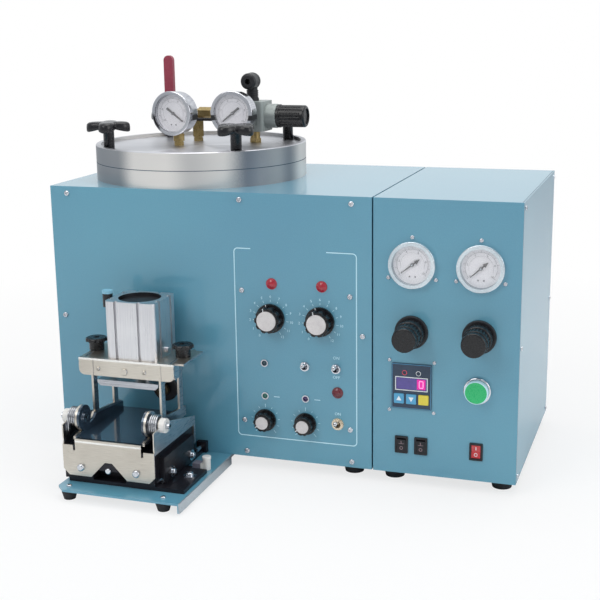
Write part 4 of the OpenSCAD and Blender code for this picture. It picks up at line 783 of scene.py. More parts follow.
@dataclass
class Print:
    """Flat marks on a plane: thin films, drawn in the plane's own millimetres."""

    origin: Vector
    right: Vector
    up: Vector
    thick_mm: float = PRINT_MM
    solid: Solid = field(default_factory=Solid)

    def place(self, p: Point2, lift: float) -> Vector:
        """Gives the place of a point of the plane, lifted off it in mm."""
        out = self.right.cross(self.up)
        return self.origin + (self.right * p[0] + self.up * p[1] + out * lift) / MM_IN_M

    def film(self, outline: Sequence[Point2], slot: int = 0, base: float = 0.0) -> None:
        """Adds a film with a convex outline.

        Args:
            outline: Corners, counter-clockwise.
            slot: Number of the finish.
            base: Height of the film's back over the plane, in mm.
        """
        rings = [[self.place(p, h) for p in outline] for h in (base, base + self.thick_mm)]
        self.solid.loft(rings, slot)

    def band(self, left: Sequence[Point2], right: Sequence[Point2], slot: int = 0, base: float = 0.0) -> None:
        """Adds a film between two lines of equally many points.

        Args:
            left: Points on the left of the way.
            right: Points on its right.
            slot: Number of the finish.
            base: Height of the film's back over the plane, in mm.
        """
        rings = []
        for a, b in zip(right, left):
            low, high = base, base + self.thick_mm
            rings.append([self.place(a, low), self.place(a, high), self.place(b, high), self.place(b, low)])
        self.solid.loft(rings, slot)

    def line(self, way: Sequence[Point2], width: float, slot: int = 0, base: float = 0.0) -> None:
        """Adds a line of a given width along a way.

        Args:
            way: Points of the way.
            width: Width of the line in mm.
            slot: Number of the finish.
            base: Height of the film's back over the plane, in mm.
        """
        left, right = [], []
        for i, p in enumerate(way):
            a, b = Vector(way[max(i - 1, 0)]), Vector(way[min(i + 1, len(way) - 1)])
            side = Vector((-(b - a).y, (b - a).x)).normalized() * width / 2
            left.append((p[0] + side.x, p[1] + side.y))
            right.append((p[0] - side.x, p[1] - side.y))
        self.band(left, right, slot, base)

    def arc(
        self, centre: Point2, radius: float, turn: Span, width: float, slot: int = 0, base: float = 0.0
    ) -> None:
        """Adds an arc in steps of about 6 degrees.

        Args:
            centre: Its centre.
            radius: Radius of its middle line.
            turn: Angles of its two ends, in degrees.
            width: Width of the line in mm.
            slot: Number of the finish.
            base: Height of the film's back over the plane, in mm.
        """
        start, end = turn
        steps = max(4, int(abs(end - start) / 6))
        angles = [math.radians(start + (end - start) * i / steps) for i in range(steps + 1)]
        self.line([on_circle(centre, radius, a) for a in angles], width, slot, base)

    def ring(self, centre: Point2, radius: float, width: float, slot: int = 0) -> None:
        """Adds a ring as two arcs, with a hair of room between their ends."""
        for start in (0, 180):
            self.arc(centre, radius, (start, start + 178), width, slot)

    def tick(
        self, centre: Point2, angle: float, reach: Span, width: float, slot: int = 0, base: float = 0.0
    ) -> None:
        """Adds a short line that points away from a centre.

        Args:
            centre: Where it points away from.
            angle: Its direction, in degrees.
            reach: How far from the centre it starts and ends.
            width: Width of the line in mm.
            slot: Number of the finish.
            base: Height of the film's back over the plane, in mm.
        """
        ends = [on_circle(centre, r, math.radians(angle)) for r in reach]
        self.line(ends, width, slot, base)

    def hoop(
        self, low: Point2, high: Point2, gap: float, width: float, slot: int = 0, base: float = 0.0
    ) -> None:
        """Adds an upright rectangle of four lines, whose uprights stop short of the level ones.

        Args:
            low: Its lower left corner.
            high: Its upper right corner.
            gap: How far the uprights stop short.
            width: Width of the lines in mm.
            slot: Number of the finish.
            base: Height of the film's back over the plane, in mm.
        """
        (x0, z0), (x1, z1) = low, high
        self.line([(x0, z0), (x1, z0)], width, slot, base)
        self.line([(x1, z0 + gap), (x1, z1 - gap)], width, slot, base)
        self.line([(x1, z1), (x0, z1)], width, slot, base)
        self.line([(x0, z1 - gap), (x0, z0 + gap)], width, slot, base)

    def disc(self, centre: Point2, radius: float, slot: int = 0, base: float = 0.0) -> None:
        """Adds a round film."""
        self.film([on_circle(centre, radius, math.radians(a)) for a in range(0, 360, 6)], slot, base)

    def figure(self, text: str, centre: Point2, size: float, slot: int = 0, base: float = 0.0) -> None:
        """Adds a number or a switch word in the plain built-in letters.

        Args:
            text: What to print.
            centre: Its middle.
            size: Height of its letters in mm.
            slot: Number of the finish.
            base: Height of the film's back over the plane, in mm.
        """
        curve = bpy.data.curves.new("letters", "FONT")
        curve.body, curve.size, curve.extrude = text, size * 1.35, self.thick_mm / 2
        curve.align_x, curve.align_y, curve.resolution_u = "CENTER", "CENTER", 2
        holder = bpy.data.objects.new("letters", curve)
        bpy.context.scene.collection.objects.link(holder)
        bpy.context.view_layer.update()
        shape = holder.evaluated_get(bpy.context.evaluated_depsgraph_get()).to_mesh()
        points = [
            self.place((centre[0] + v.co.x, centre[1] + v.co.y), v.co.z + self.thick_mm / 2 + base)
            for v in shape.vertices
        ]
        self.solid.add(points, [list(f.vertices) for f in shape.polygons], slot)
        bpy.data.objects.remove(holder)
        bpy.data.curves.remove(curve)


def dress(node: str, finish: Finish, *patches: Patch) -> None:
    """Gives a CAD node its finish through its object's material slot.

    Args:
        node: Name of the node.
        finish: Finish of the whole node.
        patches: Finishes of its own regions.
    """
    for slot in bpy.data.objects[node].material_slots:
        slot.link = "OBJECT"
        slot.material = material(finish, patches)
    LOG.info("node %s in %s and %d patches", node, finish.name, len(patches))


def patch(finish: Finish, *regions: Region) -> Patch:
    """Makes a patch of a finish on some regions."""
    return Patch(finish, regions)


def disc(centre: Point2, outer: float, inner: float = ALL[0], y: Span = ALL) -> Region:
    """Makes a round region on the front, by its centre's X and Z."""
    return Region(y=y, axis=Axis.ALONG_Y, middle=(centre[0], 0.0, centre[1]), radii=(inner, outer))


# --------------------------------------------------------------------------- sub-assemblies


@dataclass
class Cabinets:
    """Both enamelled cabinets with their feet, screws and inner parts."""

    right_x: float = 640.0
    top_z: float = 360.0
    depth: float = 304.0
    sheet_t: float = 1.5
    side_inlets_x: float = 452.0

    def build(self) -> None:
        """Dresses the sheets and draws the seams of the right cover."""
        for cabinet in ("pot", "side"):
            dress(f"{cabinet}_cabinet_shell", ENAMEL)
            dress(f"{cabinet}_cabinet_front", ENAMEL)
        dress("chassis_pans", ENAMEL)
        dress("rubber_feet", RUBBER)
        dress("panel_screws", ZINC)
        side_cabinet = Region(x=(self.side_inlets_x, ALL[1]))
        dress("internal_units", BOARD, patch(BLACK_ANODISED, side_cabinet, Region(y=(60, ALL[1]))))
        dress("rear_inlets", BLACK_SATIN, patch(BRASS, side_cabinet))
        self.seams()

    def seams(self) -> None:
        """Draws the dark joints of the right cover with the front and with the top."""
        side = Print(at(self.right_x, 0, 0), BACK, UP)
        side.line([(self.sheet_t + 0.2, 1), (self.sheet_t + 0.2, self.top_z - 1)], 0.9)
        side.solid.make("cover_front_seam", "cabinet", [SEAM], "cabinet_enamel")
        top = Print(at(self.right_x, 0, self.top_z), RIGHT, BACK)
        top.line([(-1.8, 2), (-1.8, self.depth - 2)], 0.6)
        top.solid.make("cover_top_seam", "cabinet", [SEAM], "cabinet_enamel")


@dataclass
class StarKnob:
    """Four-lobed clamping knob, lofted in rings round its stud."""

    name: str
    centre: Point2
    turn: float
    foot_z: float = 403.3
    stem_r: float = 7.5
    stem_h: float = 24.5
    head_h: float = 14.0
    lobe_r: float = 30.0
    waist_r: float = 17.0
    steps: int = 96

    def lobe(self, angle: float) -> float:
        """Gives 1 at a lobe's tip and 0 halfway between two lobes."""
        return (0.5 + 0.5 * math.cos(4 * angle)) ** 0.72

    def ring(self, z: float, inset: float, drop: float = 0.0) -> list[Vector]:
        """Gives the outline at a height.

        Args:
            z: Height over the stem's foot.
            inset: How far the outline is drawn in.
            drop: How much higher it lies between the lobes.

        Returns:
            Points round the axis, counter-clockwise from above.
        """
        points = []
        for i in range(self.steps):
            a = 2 * math.pi * i / self.steps
            f = self.lobe(a)
            r = self.waist_r + (self.lobe_r - self.waist_r) * f - inset
            t = a + math.radians(self.turn)
            height = self.foot_z + z + drop * (1 - f)
            points.append(at(*on_circle(self.centre, r, t), height))
        return points

    def build(self) -> None:
        """Makes the knob in place of its CAD node."""
        top = self.stem_h + self.head_h
        low = self.stem_h
        rings = [
            self.ring(low + 4.0, 9.5), self.ring(low + 0.6, 4.5, 4.0), self.ring(low + 0.1, 2.4, 4.0),
            self.ring(low + 0.8, 0.7, 3.6), self.ring(low + 2.6, 0.1, 3.0), self.ring(low + 6.5, 0.0, 0.8),
            self.ring(top - 3.6, 0.5), self.ring(top - 1.7, 1.9), self.ring(top - 0.6, 4.2),
            self.ring(top - 0.1, 7.5), self.ring(top, 11.0),
        ]
        knob = Solid()
        knob.loft(rings)
        r = self.stem_r
        half = self.steps // 2
        angles = [2 * math.pi * k / half for k in range(half)]
        profile = ((r - 0.6, 0.0), (r, 0.6), (r, low + 3), (r + 3, low + 5))
        knob.loft([[at(*on_circle(self.centre, r, a), self.foot_z + z) for a in angles] for r, z in profile])
        body = f"lid_knob_{self.name}_body"
        piece = knob.make(f"star_knob_{self.name}", body, [BLACK_MOULDED], "black_plastic", smooth=True)
        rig.replaces(piece, f"lid_knob_{self.name}")


@dataclass
class WaxPot:
    """Turned pot flange and lid with the four knobs that hold it down."""

    axis: Point2 = POT_AXIS
    ring_r: float = 135.0
    ring_turn: float = -2.0
    joint_z: float = 383.8
    knob_turns: tuple[float, ...] = (18.0, -25.0, 40.0, 10.0)

    def build(self) -> None:
        """Dresses the steel and makes the knobs."""
        # Both turned finishes draw painted reflection bands round the pot's axis
        flat = patch(TURNED_TOP, Region(facing=Facing.LEVEL))
        joint = patch(SEAM, Region(z=(self.joint_z - 0.5, self.joint_z + 0.4)))
        dress("wax_pot", TURNED_SIDE, flat, joint)
        dress("pot_lid", TURNED_SIDE, flat, joint)
        dress("lid_seal", SEAL)
        names = ("front_left", "front_right", "rear_right", "rear_left")
        for i, (name, turn) in enumerate(zip(names, self.knob_turns)):
            a = math.radians(225 + 90 * i + self.ring_turn)
            StarKnob(name, on_circle(self.axis, self.ring_r, a), turn).build()


@dataclass
class Dial:
    """Printed face of a gauge, on the floor of its case."""

    name: str
    body: str
    front: Vector
    turn: float
    radius: float
    zero: float = 218.0
    sweep: float = 256.0
    depth: float = 7.3
    hole_r: float = 1.4
    ticks: int = 50

    def build(self) -> None:
        """Prints the scale and its numbers on a white card."""
        a = math.radians(self.turn)
        right = Vector((math.cos(a), math.sin(a), 0))
        out = right.cross(UP)
        face = Print(self.front - out * self.depth / MM_IN_M, right, UP)
        middle = (0, 0)
        steps = 60
        spin = [2 * math.pi * i / steps for i in range(steps + 1)]
        for start in (0, steps // 2):
            half = spin[start : start + steps // 2 + 1]
            edge = [on_circle(middle, self.radius, t) for t in half]
            inner = [on_circle(middle, self.hole_r, t) for t in half]
            face.band(inner, edge, 0)
        r, lift = self.radius, PRINT_MM
        face.arc(middle, r * 0.80, (self.zero, self.zero - self.sweep), 0.25, 1, lift)
        face.arc(middle, r * 0.62, (self.zero - 20, self.zero - self.sweep + 20), 0.2, 1, lift)
        for i in range(self.ticks + 1):
            end, width = (0.91, 0.4) if i % 5 == 0 else (0.86, 0.2)
            angle = self.zero - self.sweep * i / self.ticks
            face.tick(middle, angle, (r * 0.80, r * end), width, 1, lift)
        for i in range(0, 11, 2):
            t = math.radians(self.zero - self.sweep * i / 10)
            face.figure(str(i), on_circle(middle, r * 0.70, t), 3.0, 1, lift)
        for x in (-3.6, 3.6):
            face.disc((x, -r * 0.62), 1.1, 1, lift)
        face.solid.make(f"dial_{self.name}", self.body, [DIAL, DIAL_INK], "gauge_case")


@dataclass
class LidGear:
    """Gauges, pipework, lever and regulator on the lid."""

    gauge_z: float = 449.0
    left: Point2 = (130.5, 115.0)
    right: Point2 = (214.5, 131.0)
    left_turn: float = -6.0
    face_r: float = 25.7
    grip_z: float = 470.2
    body_top: float = 462.1

    def build(self) -> None:
        """Dresses the gear and prints the two dials."""
        rings = patch(CHROME, Region(facing=Facing.FRONT))
        # A dark patch in the rubber's black is painted on each gauge's right side
        dark_patches = patch(RUBBER, self.plug(self.left), self.plug(self.right))
        dress("lid_gauges", GAUGE_STEEL, rings, dark_patches)
        dress("lid_gauge_lenses", LENS)
        dress("vacuum_needle", NEEDLE)
        dress("pressure_needle", NEEDLE)
        tube = Region(x=(113, ALL[1]), y=(ALL[0], 189.4), z=(430, 441))
        dress("lid_pipework", BRASS, patch(BLACK_MOULDED, tube))
        dress("valve_lever", LEVER_RED, patch(ZINC, Region(z=(ALL[0], self.grip_z))))
        dress(
            "lid_regulator",
            CASTING,
            patch(BLACK_SATIN, Region(z=(self.body_top, ALL[1])), Region(y=(ALL[0], 174.9))),
            patch(BRASS, Region(z=(ALL[0], 419.9))),
        )
        dress("lid_regulator_knob", BLACK_MOULDED)
        front = at(*self.left, self.gauge_z)
        Dial("vacuum", "lid", front, self.left_turn, self.face_r, zero=-36, sweep=-250).build()
        Dial("pressure", "lid", at(*self.right, self.gauge_z), 0.0, self.face_r).build()

    def plug(self, gauge: Point2) -> Region:
        """Gives the region of the dark patch painted on a gauge's right side."""
        z = self.gauge_z - 6.1
        return Region(x=(gauge[0] + 27.2, ALL[1]), y=(gauge[1] + 5, gauge[1] + 25), z=(z - 3.6, z + 3.6))


@dataclass
class PotPanel:
    """Controls and screen print on the pot cabinet's front."""

    frame: tuple[float, float, float, float] = (266.0, 30.0, 432.0, 287.0)
    corner: float = 5.0
    caption_gap: tuple[float, float] = (289.0, 392.0)
    temperature: tuple[Point2, ...] = ((315.2, 195.5), (383.2, 195.5))
    timers: tuple[Point2, ...] = ((305.3, 54.5), (361.7, 54.5))
    lamps: tuple[Point2, ...] = ((317.5, 241.9), (385.9, 242.1), (406.3, 101.4))
    leds: tuple[Point2, ...] = ((305.6, 133.8), (305.8, 88.5), (362.3, 89.3))
    toggles: tuple[Point2, ...] = ((362.0, 134.0), (404.6, 134.0), (406.3, 58.5))
    frame_w: float = 1.3
    tick_w: float = 0.55
    pointer_w: float = 1.1

    def build(self) -> None:
        """Dresses knobs, lamps and toggles, and prints the panel."""
        for i, side in enumerate(("left", "right")):
            self.knob(f"temperature_knob_{side}", self.temperature[i], 39.0, 18.0, 26.13, 108)
            self.knob(f"timer_knob_{side}", self.timers[i], 30.0, 16.0, 17.1, 216)
        for node in ("mode_toggle", "vacuum_toggle", "power_toggle"):
            dress(node, CHROME)
        colours = (LED_DARK, LED_GREEN, LED_VIOLET)
        resin = [patch(c, disc(p, 3.7)) for c, p in zip(colours, self.leds)]
        dull = patch(LAMP_DULL, disc(self.lamps[2], 9))
        rings = patch(GAUGE_STEEL, *(disc(p, 6) for p in self.leds))
        dress("pilot_lamps", LAMP_RED, dull, rings, *resin)
        self.screen_print()

    def knob(
        self, node: str, centre: Point2, width: float, height: float, cap: float, pointer: float
    ) -> None:
        """Dresses a control knob and lays its white pointer.

        Args:
            node: CAD node of the knob.
            centre: Its axis on the panel.
            width: Width of its skirt.
            height: Height of the knob.
            cap: Diameter of its cap.
            pointer: Angle of the pointer, in degrees from the right.
        """
        dress(node, BLACK_MOULDED, patch(CAP, disc(centre, cap / 2 + 0.02, y=(ALL[0], 1.5 - height))))
        rim = Print(at(centre[0], -0.3 - height + 1, centre[1]), RIGHT, UP)
        spans = (
            ((cap / 2 + 0.1, cap / 2 + 1.7), 0.0),
            ((cap / 2 + 1.75, width / 2 - 2.6), -1.0),
            ((width / 2 - 2.4, width / 2 - 0.3), 4.0 - height),
        )
        for reach, base in spans:
            rim.tick((0, 0), pointer, reach, self.pointer_w, 0, base)
        rim.solid.make(f"{node}_pointer", f"{node}_body", [WHITE_INK], "black_plastic")

    def screen_print(self) -> None:
        """Prints the frame, the scales round the knobs and the switch words."""
        face = Print(at(0, 0, 0), RIGHT, UP)
        x0, z0, x1, z1 = self.frame
        r = self.corner
        way: list[Point2] = [(self.caption_gap[1], z1)]
        turns = (
            ((x1 - r, z1 - r), 90), ((x1 - r, z0 + r), 0), ((x0 + r, z0 + r), -90), ((x0 + r, z1 - r), 180),
        )
        for centre, start in turns:
            way += [on_circle(centre, r, math.radians(start - 15 * k)) for k in range(7)]
        way.append((self.caption_gap[0], z1))
        face.line(way, self.frame_w)
        for c in self.temperature:
            for i in range(13):
                face.tick(c, 237 - i * 24.5, (22.0, 25.0), self.tick_w)
            for i in range(13):
                face.figure(str(i), on_circle(c, 29.0, math.radians(237 - i * 24.5)), 3.6)
        for c in self.timers:
            for i in range(11):
                face.tick(c, 230 - i * 28, (17.5, 20.3 if i % 5 else 22.5), self.tick_w)
        for c in self.leds[1:]:
            face.line([(c[0] + 12, c[1] - 0.5), (c[0] + 20, c[1] - 0.5)], 0.9)
        face.figure("ON", (self.toggles[1][0], self.toggles[1][1] + 14), 4.2)
        face.figure("OFF", (self.toggles[1][0], self.toggles[1][1] - 12), 4.2)
        face.figure("ON", (self.toggles[2][0], self.toggles[2][1] + 13.5), 4.0)
        face.solid.make("pot_panel_print", "cabinet", [INK], "cabinet_enamel")


@dataclass
class SidePanel:
    """Gauges, regulators, counter, button and switches on the side cabinet's front."""

    columns: tuple[float, float] = (504.0, 590.0)
    gauge_z: float = 277.0
    counter: Point2 = (504.8, 119.0)
    key_z: float = 102.5
    key_step: float = 16.0
    button: Point2 = (589.2, 121.0)
    rockers: tuple[Point2, ...] = ((492.0, 39.5), (517.5, 39.5), (589.0, 39.5))
    power_nut: Point2 = (406.3, 58.5)
    face_r: float = 24.7
    counter_half: Point2 = (25.2, 29.2)
    window_half: Point2 = (19.8, 7.8)
    window_up: float = 3.5
    trim: float = 0.8
    rocker_half: float = 8.1
    rocker_drop: float = 1.4
    rocker_rise: float = 1.2
    rocker_pivot: float = 4.0

    def build(self) -> None:
        """Dresses the controls and adds their printed and lit parts."""
        dress("panel_gauges", GAUGE_RING)
        dress("panel_gauge_lenses", LENS)
        for use, x in zip(("forward", "clamp"), self.columns):
            dress(f"{use}_needle", NEEDLE)
            Dial(use, "cabinet", at(x, -6, self.gauge_z), 0.0, self.face_r).build()
        for side in ("left", "right"):
            dress(f"regulator_knob_{side}", BLACK_MOULDED)
        rockers = Region(x=(480, ALL[1]), z=(ALL[0], 60))
        nozzle, regulators = Region(x=(ALL[0], 200)), Region(z=(160, ALL[1]))
        black = patch(BLACK_SATIN, rockers, nozzle, regulators)
        dress("panel_bezels", CHROME, black, patch(NUT, disc(self.power_nut, 9.5)))
        dress("push_button", BUTTON, patch(INK, disc(self.button, 15.1, 13.7)))
        dress("counter_case", COUNTER)
        for key, finish in (("up", KEY_BLUE), ("down", KEY_BLUE), ("set", KEY_YELLOW)):
            dress(f"counter_key_{key}", finish)
        for side in ("left", "middle"):
            dress(f"rocker_{side}", BLACK_SATIN)
        dress("rocker_power", ROCKER_RED)
        dress("injection_nozzle", NOZZLE)
        self.display()
        self.key_marks()
        self.rocker_marks()

    def display(self) -> None:
        """Makes the lit window of the counter, its frame and the rings of its two lamps."""
        cx, cz = self.counter[0], self.counter[1] + self.window_up
        w, h = self.window_half
        window = Print(at(cx, -1.2, cz), RIGHT, UP, thick_mm=0.4)
        window.film([(-w, -h), (w, -h), (w, h), (-w, h)])
        window.film([(7.2, -6.6), (18.2, -6.6), (18.2, 6.6), (7.2, 6.6)], 1, 0.4)
        window.thick_mm = PRINT_MM
        window.hoop((10.2, -4.4), (15.2, 4.4), 0.6, 1.1, 2, 0.8)
        window.solid.make("counter_window", "cabinet", [DISPLAY, DIGIT, DIGIT_LIT], "counter_plastic")
        trim = Print(at(cx, -2, cz), RIGHT, UP)
        w, h = w + self.trim, h + self.trim
        frame = [(-w, -h), (w, -h), (w, h), (-w, h)]
        for i in range(4):
            a, b = Vector(frame[i]), Vector(frame[(i + 1) % 4])
            step = (b - a).normalized() * 0.5
            trim.line([tuple(a - step), tuple(b - step * 1.02)], 1.0)
        for side, slot in ((-1, 1), (1, 0)):
            trim.ring((side * 9, 14.5), 2.9, 0.7, slot)
        trim.solid.make("counter_trim", "cabinet", [WHITE_INK, RING_RED], "counter_plastic")
        edge = Print(at(self.counter[0], -2, self.counter[1]), RIGHT, UP)
        w, h = self.counter_half
        edge.hoop((-w, -h), (w, h), 0.6, 0.5)
        edge.solid.make("counter_edge_line", "cabinet", [KEY_BLUE], "counter_plastic")

    def key_marks(self) -> None:
        """Prints the arrows on the counter's two blue keys."""
        for i, (key, sign) in enumerate((("up", 1), ("down", -1))):
            x = self.counter[0] + (i - 1) * self.key_step
            face = Print(at(x, -3.2, self.key_z), RIGHT, UP)
            arrow = [(-3.4, -2.6 * sign), (3.4, -2.6 * sign), (0, 3.6 * sign)]
            face.film(arrow if sign > 0 else arrow[::-1])
            face.solid.make(f"counter_key_{key}_arrow", f"counter_key_{key}_body", [WHITE_INK], "key_blue")

    def rocker_marks(self) -> None:
        """Prints a bar and a ring on the two halves of each rocker."""
        for (x, z), name, tilt in zip(self.rockers, ("left", "middle", "power"), (6, 6, -6)):
            body = f"rocker_{name}_body"
            solid = Solid()
            spin = Matrix.Rotation(math.radians(tilt), 3, "X")
            lift = self.rocker_pivot + self.rocker_rise + self.rocker_drop / 2
            for half in (1, -1):
                mid = self.rocker_half / 2 * half
                slope = math.atan2(self.rocker_drop * half, self.rocker_half)
                up = Vector((0, -math.sin(slope), math.cos(slope)))
                origin = at(x, self.rocker_pivot, z) + spin @ Vector((0, -lift, mid)) / MM_IN_M
                face = Print(origin, RIGHT, spin @ up, solid=solid)
                if half > 0:
                    face.line([(0, -2.2), (0, 2.2)], 0.9)
                    if name != "power":
                        face.line([(-3.4, -2.2), (3.4, -2.2)], 0.6, 1)
                else:
                    face.ring((0, 0), 1.9, 0.6)
            slot, ink = ("rocker_red", WHITE_INK) if name == "power" else ("black_plastic", FAINT_INK)
            solid.make(f"rocker_{name}_marks", body, [ink, FAINT_INK], slot)


@dataclass
class Clamp:
    """Base plate, slide, bracket, springs, tray, head and air cylinder."""

    middle_x: float = 147.0
    axle: Point2 = (-125.0, 80.0)
    bush_reach: Span = (64.2, 71.8)
    bore_middle: Point2 = (152.5, -51.0)
    bore_r: float = 28.1
    wire: float = 2.2
    coil_r: float = 12.4
    turns: int = 4
    pitch: float = 2.75
    coil_x: float = 51.4
    sides: int = 12
    per_turn: int = 24

    def build(self) -> None:
        """Dresses the clamp and winds its springs."""
        # Sideways faces of the stainless take a cooler painted reflection
        side = patch(BRUSHED_SIDE_REFLECTION, Region(facing=Facing.SIDEWAYS))
        dress("clamp_base_plate", ENAMEL, patch(FOLD, Region(x=(254.4, ALL[1]))))
        bolt = patch(ZINC, Region(x=(229, ALL[1]), y=(-110, -92), z=(5.02, ALL[1])))
        grey = patch(FITTING_GREY, Region(x=(224, ALL[1]), y=(-70, -52), z=(0.2, ALL[1])))
        stub = patch(NYLON, Region(x=(237, ALL[1]), y=(-70, -52), z=(0.2, ALL[1])))
        dress("slide_base", BLACK_ANODISED, bolt, grey, stub)
        rod = Region(axis=Axis.ALONG_Y, middle=(213.0, 0.0, 9.0), radii=(ALL[0], 3.2))
        heads = patch(ZINC, Region(x=(218.1, ALL[1]), y=(ALL[0], -40)), Region(y=(ALL[0], -148.6)), rod)
        dress("carriage", BLACK_ANODISED, heads)
        # Painted highlight along the bends of the bracket
        bend_highlights = patch(BEND_HIGHLIGHT, Region(y=(ALL[0], -148.4), z=(54.6, 57.0)))
        bolts = patch(ZINC, *(disc((self.middle_x + x, 21.5), 5.2, y=(ALL[0], -150.1)) for x in (-39, 39)))
        dress("clamp_bracket", BRUSHED_STAINLESS, side, bend_highlights, bolts)
        dress("tray_axle", ZINC, patch(NYLON, self.bush(-1), self.bush(1)))
        dress("mould_tray", TRAY)
        # Painted highlight along the head's upper bend
        fold = patch(BEND_HIGHLIGHT, Region(y=(-90.3, -88.6), z=(146.4, ALL[1])))
        dress("clamp_head", BRUSHED_STAINLESS, side, fold)
        elbow = patch(BLACK_MOULDED, Region(x=(ALL[0], 116.5)))
        cap = patch(CAP_BLUE, Region(x=(ALL[0], 116.5), z=(226.4, ALL[1])))
        middle = (*self.bore_middle, 0.0)
        recess = Region(z=(219, 225.3), axis=Axis.ALONG_Z, middle=middle, radii=(ALL[0], self.bore_r))
        dress("air_cylinder", EXTRUDED, patch(BORE, recess), elbow, cap)
        dress("press_plate", MILLED, patch(CHROME, Region(z=(121, ALL[1]))))
        for name in ("left", "right"):
            dress(f"thumb_knob_{name}", BLACK_MOULDED)
        self.springs()

    def bush(self, side: int) -> Region:
        """Gives the region of the bush on one side of the axle."""
        ends = sorted(self.middle_x + side * reach for reach in self.bush_reach)
        return Region(x=(ends[0], ends[1]), axis=Axis.ALONG_X, middle=(0.0, *self.axle), radii=(4.2, ALL[1]))

    def coil_way(self) -> list[Vector]:
        """Gives the wire's way: along the tray, round the axle and down to the shoulder.

        Returns:
            Points in mm, with X from the clamp's middle.
        """
        y0, z0 = self.axle
        way = [Vector((self.coil_x, y0 + y, z0 - self.coil_r)) for y in (30, 20, 10, 4)]
        last = self.turns * self.per_turn - self.per_turn // 4
        for i in range(last + 1):
            t = i / self.per_turn
            a = math.radians(270 + 360 * t)
            way.append(Vector((self.coil_x + self.pitch * t, *on_circle(self.axle, self.coil_r, a))))
        end = self.coil_x + self.pitch * (self.turns - 0.25)
        way += [Vector((end, y0 - self.coil_r, z0 + z)) for z in (-4, -12, -20)]
        return way

    def springs(self) -> None:
        """Winds both torsion springs in round wire, in place of the CAD node."""
        solid = Solid()
        way = self.coil_way()
        for side in (1, -1):
            rings = []
            for i, p in enumerate(way):
                along = (way[min(i + 1, len(way) - 1)] - way[max(i - 1, 0)]).normalized()
                out = along.cross(RIGHT).normalized()
                across = along.cross(out)
                ring = []
                for k in range(self.sides):
                    a = 2 * math.pi * k / self.sides
                    q = p + (out * math.cos(a) + across * math.sin(a)) * self.wire / 2
                    ring.append(at(self.middle_x + side * q.x, q.y, q.z))
                rings.append(ring if side > 0 else ring[::-1])
            solid.loft(rings)
        piece = solid.make("torsion_spring_coils", "clamp_carriage", [SPRING_WIRE], "spring_steel", True)
        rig.replaces(piece, "torsion_springs")


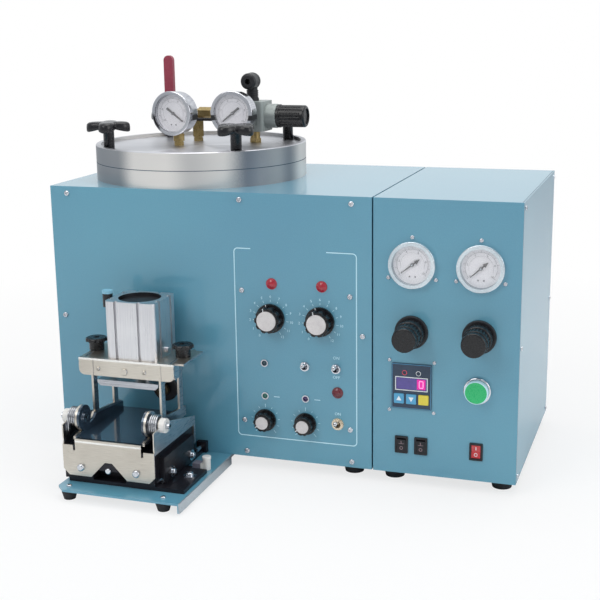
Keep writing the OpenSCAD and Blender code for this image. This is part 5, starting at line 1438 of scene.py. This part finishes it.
@dataclass
class Studio:
    """White room, soft lamps and the camera at the photograph's angle."""

    camera_mm: tuple[float, float, float] = (833.0, -1410.5, 583.9)
    yaw: float = -0.326
    pitch: float = -0.238
    roll: float = -0.014
    lens: float = 71.1
    ambient: float = 0.52

    def build(self) -> None:
        """Sets the camera, the room and the lamps."""
        scene = bpy.context.scene
        scene.view_settings.view_transform = "Standard"
        self.camera()
        self.room()
        floor = self.floor()
        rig.stage(floor)
        self.lamp("key_lamp", (-1.0, -1.9, 2.1), 1.5, 20.0)
        self.lamp("top_lamp", (0.2, 0.1, 2.4), 1.8, 24.0)
        self.lamp("right_lamp", (2.4, -0.6, 1.2), 1.4, 12.0)

    def camera(self) -> None:
        """Places the camera by its yaw, pitch and roll."""
        data = bpy.data.cameras.new("camera")
        data.lens, data.sensor_width, data.clip_end = self.lens, 36.0, 20.0
        eye = bpy.data.objects.new("camera", data)
        bpy.context.scene.collection.objects.link(eye)
        level = math.cos(self.pitch)
        ahead = Vector((math.sin(self.yaw) * level, math.cos(self.yaw) * level, math.sin(self.pitch)))
        right = Vector((math.cos(self.yaw), -math.sin(self.yaw), 0))
        up = right.cross(ahead)
        c, s = math.cos(self.roll), math.sin(self.roll)
        right, up = right * c + up * s, up * c - right * s
        turn = Matrix((right, up, -ahead)).transposed().to_4x4()
        eye.matrix_world = Matrix.Translation(at(*self.camera_mm)) @ turn
        bpy.context.scene.camera = eye

    def room(self) -> None:
        """Makes the white room, dimmer as a light than as a background."""
        world = bpy.data.worlds.new("room")
        bpy.context.scene.world = world
        world.use_nodes = True
        tree = world.node_tree
        tree.nodes.clear()
        path = add_node(tree, "ShaderNodeLightPath")
        rays = {0: (path, "Is Camera Ray"), 1: (path, "Is Transmission Ray")}
        seen = add_node(tree, "ShaderNodeMath", links=rays, operation="MAXIMUM")
        coords = add_node(tree, "ShaderNodeTexCoord")
        split = add_node(tree, "ShaderNodeSeparateXYZ", links={"Vector": (coords, "Generated")})
        # What gloss and metal mirror: a white back of the room and a dimmer side before the machine
        span = {"From Min": -0.9, "From Max": 0.5}
        depth = add_node(tree, "ShaderNodeMapRange", span, {"Value": (split, "Y")})
        ramp = add_node(tree, "ShaderNodeValToRGB", links={"Fac": (depth, 0)})
        low, high = ramp.color_ramp.elements
        low.position, low.color = 0.0, (0.4, 0.41, 0.44, 1)
        high.position, high.color = 1.0, (0.95, 0.98, 1, 1)
        mirrored = add_node(tree, "ShaderNodeBackground", {"Strength": 1.0}, {"Color": (ramp, "Color")})
        pale = {"Color": (0.93, 0.96, 1, 1), "Strength": self.ambient}
        ambient = add_node(tree, "ShaderNodeBackground", pale)
        white = add_node(tree, "ShaderNodeBackground", {"Color": (1, 1, 1, 1), "Strength": 1.0})
        mixed = add_node(
            tree, "ShaderNodeMixShader", links={0: (path, "Is Glossy Ray"), 1: (ambient, 0), 2: (mirrored, 0)}
        )
        mixed = add_node(tree, "ShaderNodeMixShader", links={0: (seen, 0), 1: (mixed, 0), 2: (white, 0)})
        add_node(tree, "ShaderNodeOutputWorld", links={"Surface": (mixed, 0)})

    def floor(self) -> bpy.types.Object:
        """Lays the pale floor, which keeps the machine's shadow.

        Returns:
            The floor.
        """
        mesh = bpy.data.meshes.new("floor")
        mesh.from_pydata([(-6, -6, 0), (6, -6, 0), (6, 6, 0), (-6, 6, 0)], [], [(0, 1, 2, 3)])
        floor = bpy.data.objects.new("floor", mesh)
        bpy.context.scene.collection.objects.link(floor)
        made = bpy.data.materials.new("paper_white")
        made.use_nodes = True
        tree = made.node_tree
        tree.nodes.clear()
        path = add_node(tree, "ShaderNodeLightPath")
        matt = {"Base Color": linear("#F4F5F6"), "Roughness": 0.9}
        paper = add_node(tree, "ShaderNodeBsdfPrincipled", matt)
        white = add_node(tree, "ShaderNodeEmission", {"Color": (1, 1, 1, 1), "Strength": 1.0})
        # The paper keeps the shadow near the machine and runs out into the white room
        coords = add_node(tree, "ShaderNodeTexCoord")
        away = add_node(tree, "ShaderNodeVectorMath", links={0: (coords, "Object")}, operation="LENGTH")
        span = {"From Min": 0.55, "From Max": 1.3, "To Min": 0.74, "To Max": 1.0}
        fade = add_node(tree, "ShaderNodeMapRange", span, {"Value": (away, "Value")})
        share = add_node(
            tree, "ShaderNodeMath", links={0: (path, "Is Camera Ray"), 1: (fade, 0)}, operation="MULTIPLY"
        )
        mixed = add_node(tree, "ShaderNodeMixShader", links={0: (share, 0), 1: (paper, 0), 2: (white, 0)})
        add_node(tree, "ShaderNodeOutputMaterial", links={"Surface": (mixed, 0)})
        mesh.materials.append(made)
        return floor

    def lamp(self, name: str, place: tuple[float, float, float], size: float, power: float) -> None:
        """Hangs a square soft lamp that looks at the machine.

        Args:
            name: Name of the lamp.
            place: Where it hangs, in metres.
            size: Side of its square, in metres.
            power: Its power in watts.
        """
        data = bpy.data.lights.new(name, "AREA")
        data.energy, data.size, data.color = power, size, (1.0, 0.99, 0.97)
        lamp = bpy.data.objects.new(name, data)
        bpy.context.scene.collection.objects.link(lamp)
        lamp.location = place
        lamp.rotation_mode = "QUATERNION"
        lamp.rotation_quaternion = (Vector((0, 0, 0.25)) - Vector(place)).to_track_quat("-Z", "Y")


def corners(bounds: tuple[Vector, Vector]) -> list[list[float]]:
    """Turns a box into plain lists of numbers."""
    return [[round(c, 6) for c in corner] for corner in bounds]


def main() -> None:
    """Loads the frame, builds the sub-assemblies in order and keeps both boxes."""
    logging.basicConfig(level=logging.INFO, format="%(message)s")
    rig.load()
    cad_box = corners(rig.bounds())
    Studio().build()
    for part in (Cabinets(), WaxPot(), LidGear(), PotPanel(), SidePanel(), Clamp()):
        part.build()
    bpy.context.view_layer.update()
    with open("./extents.json", "w") as sizes:
        json.dump({"cad": cad_box, "visual": corners(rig.bounds())}, sizes)


if __name__ == "__main__":
    main()
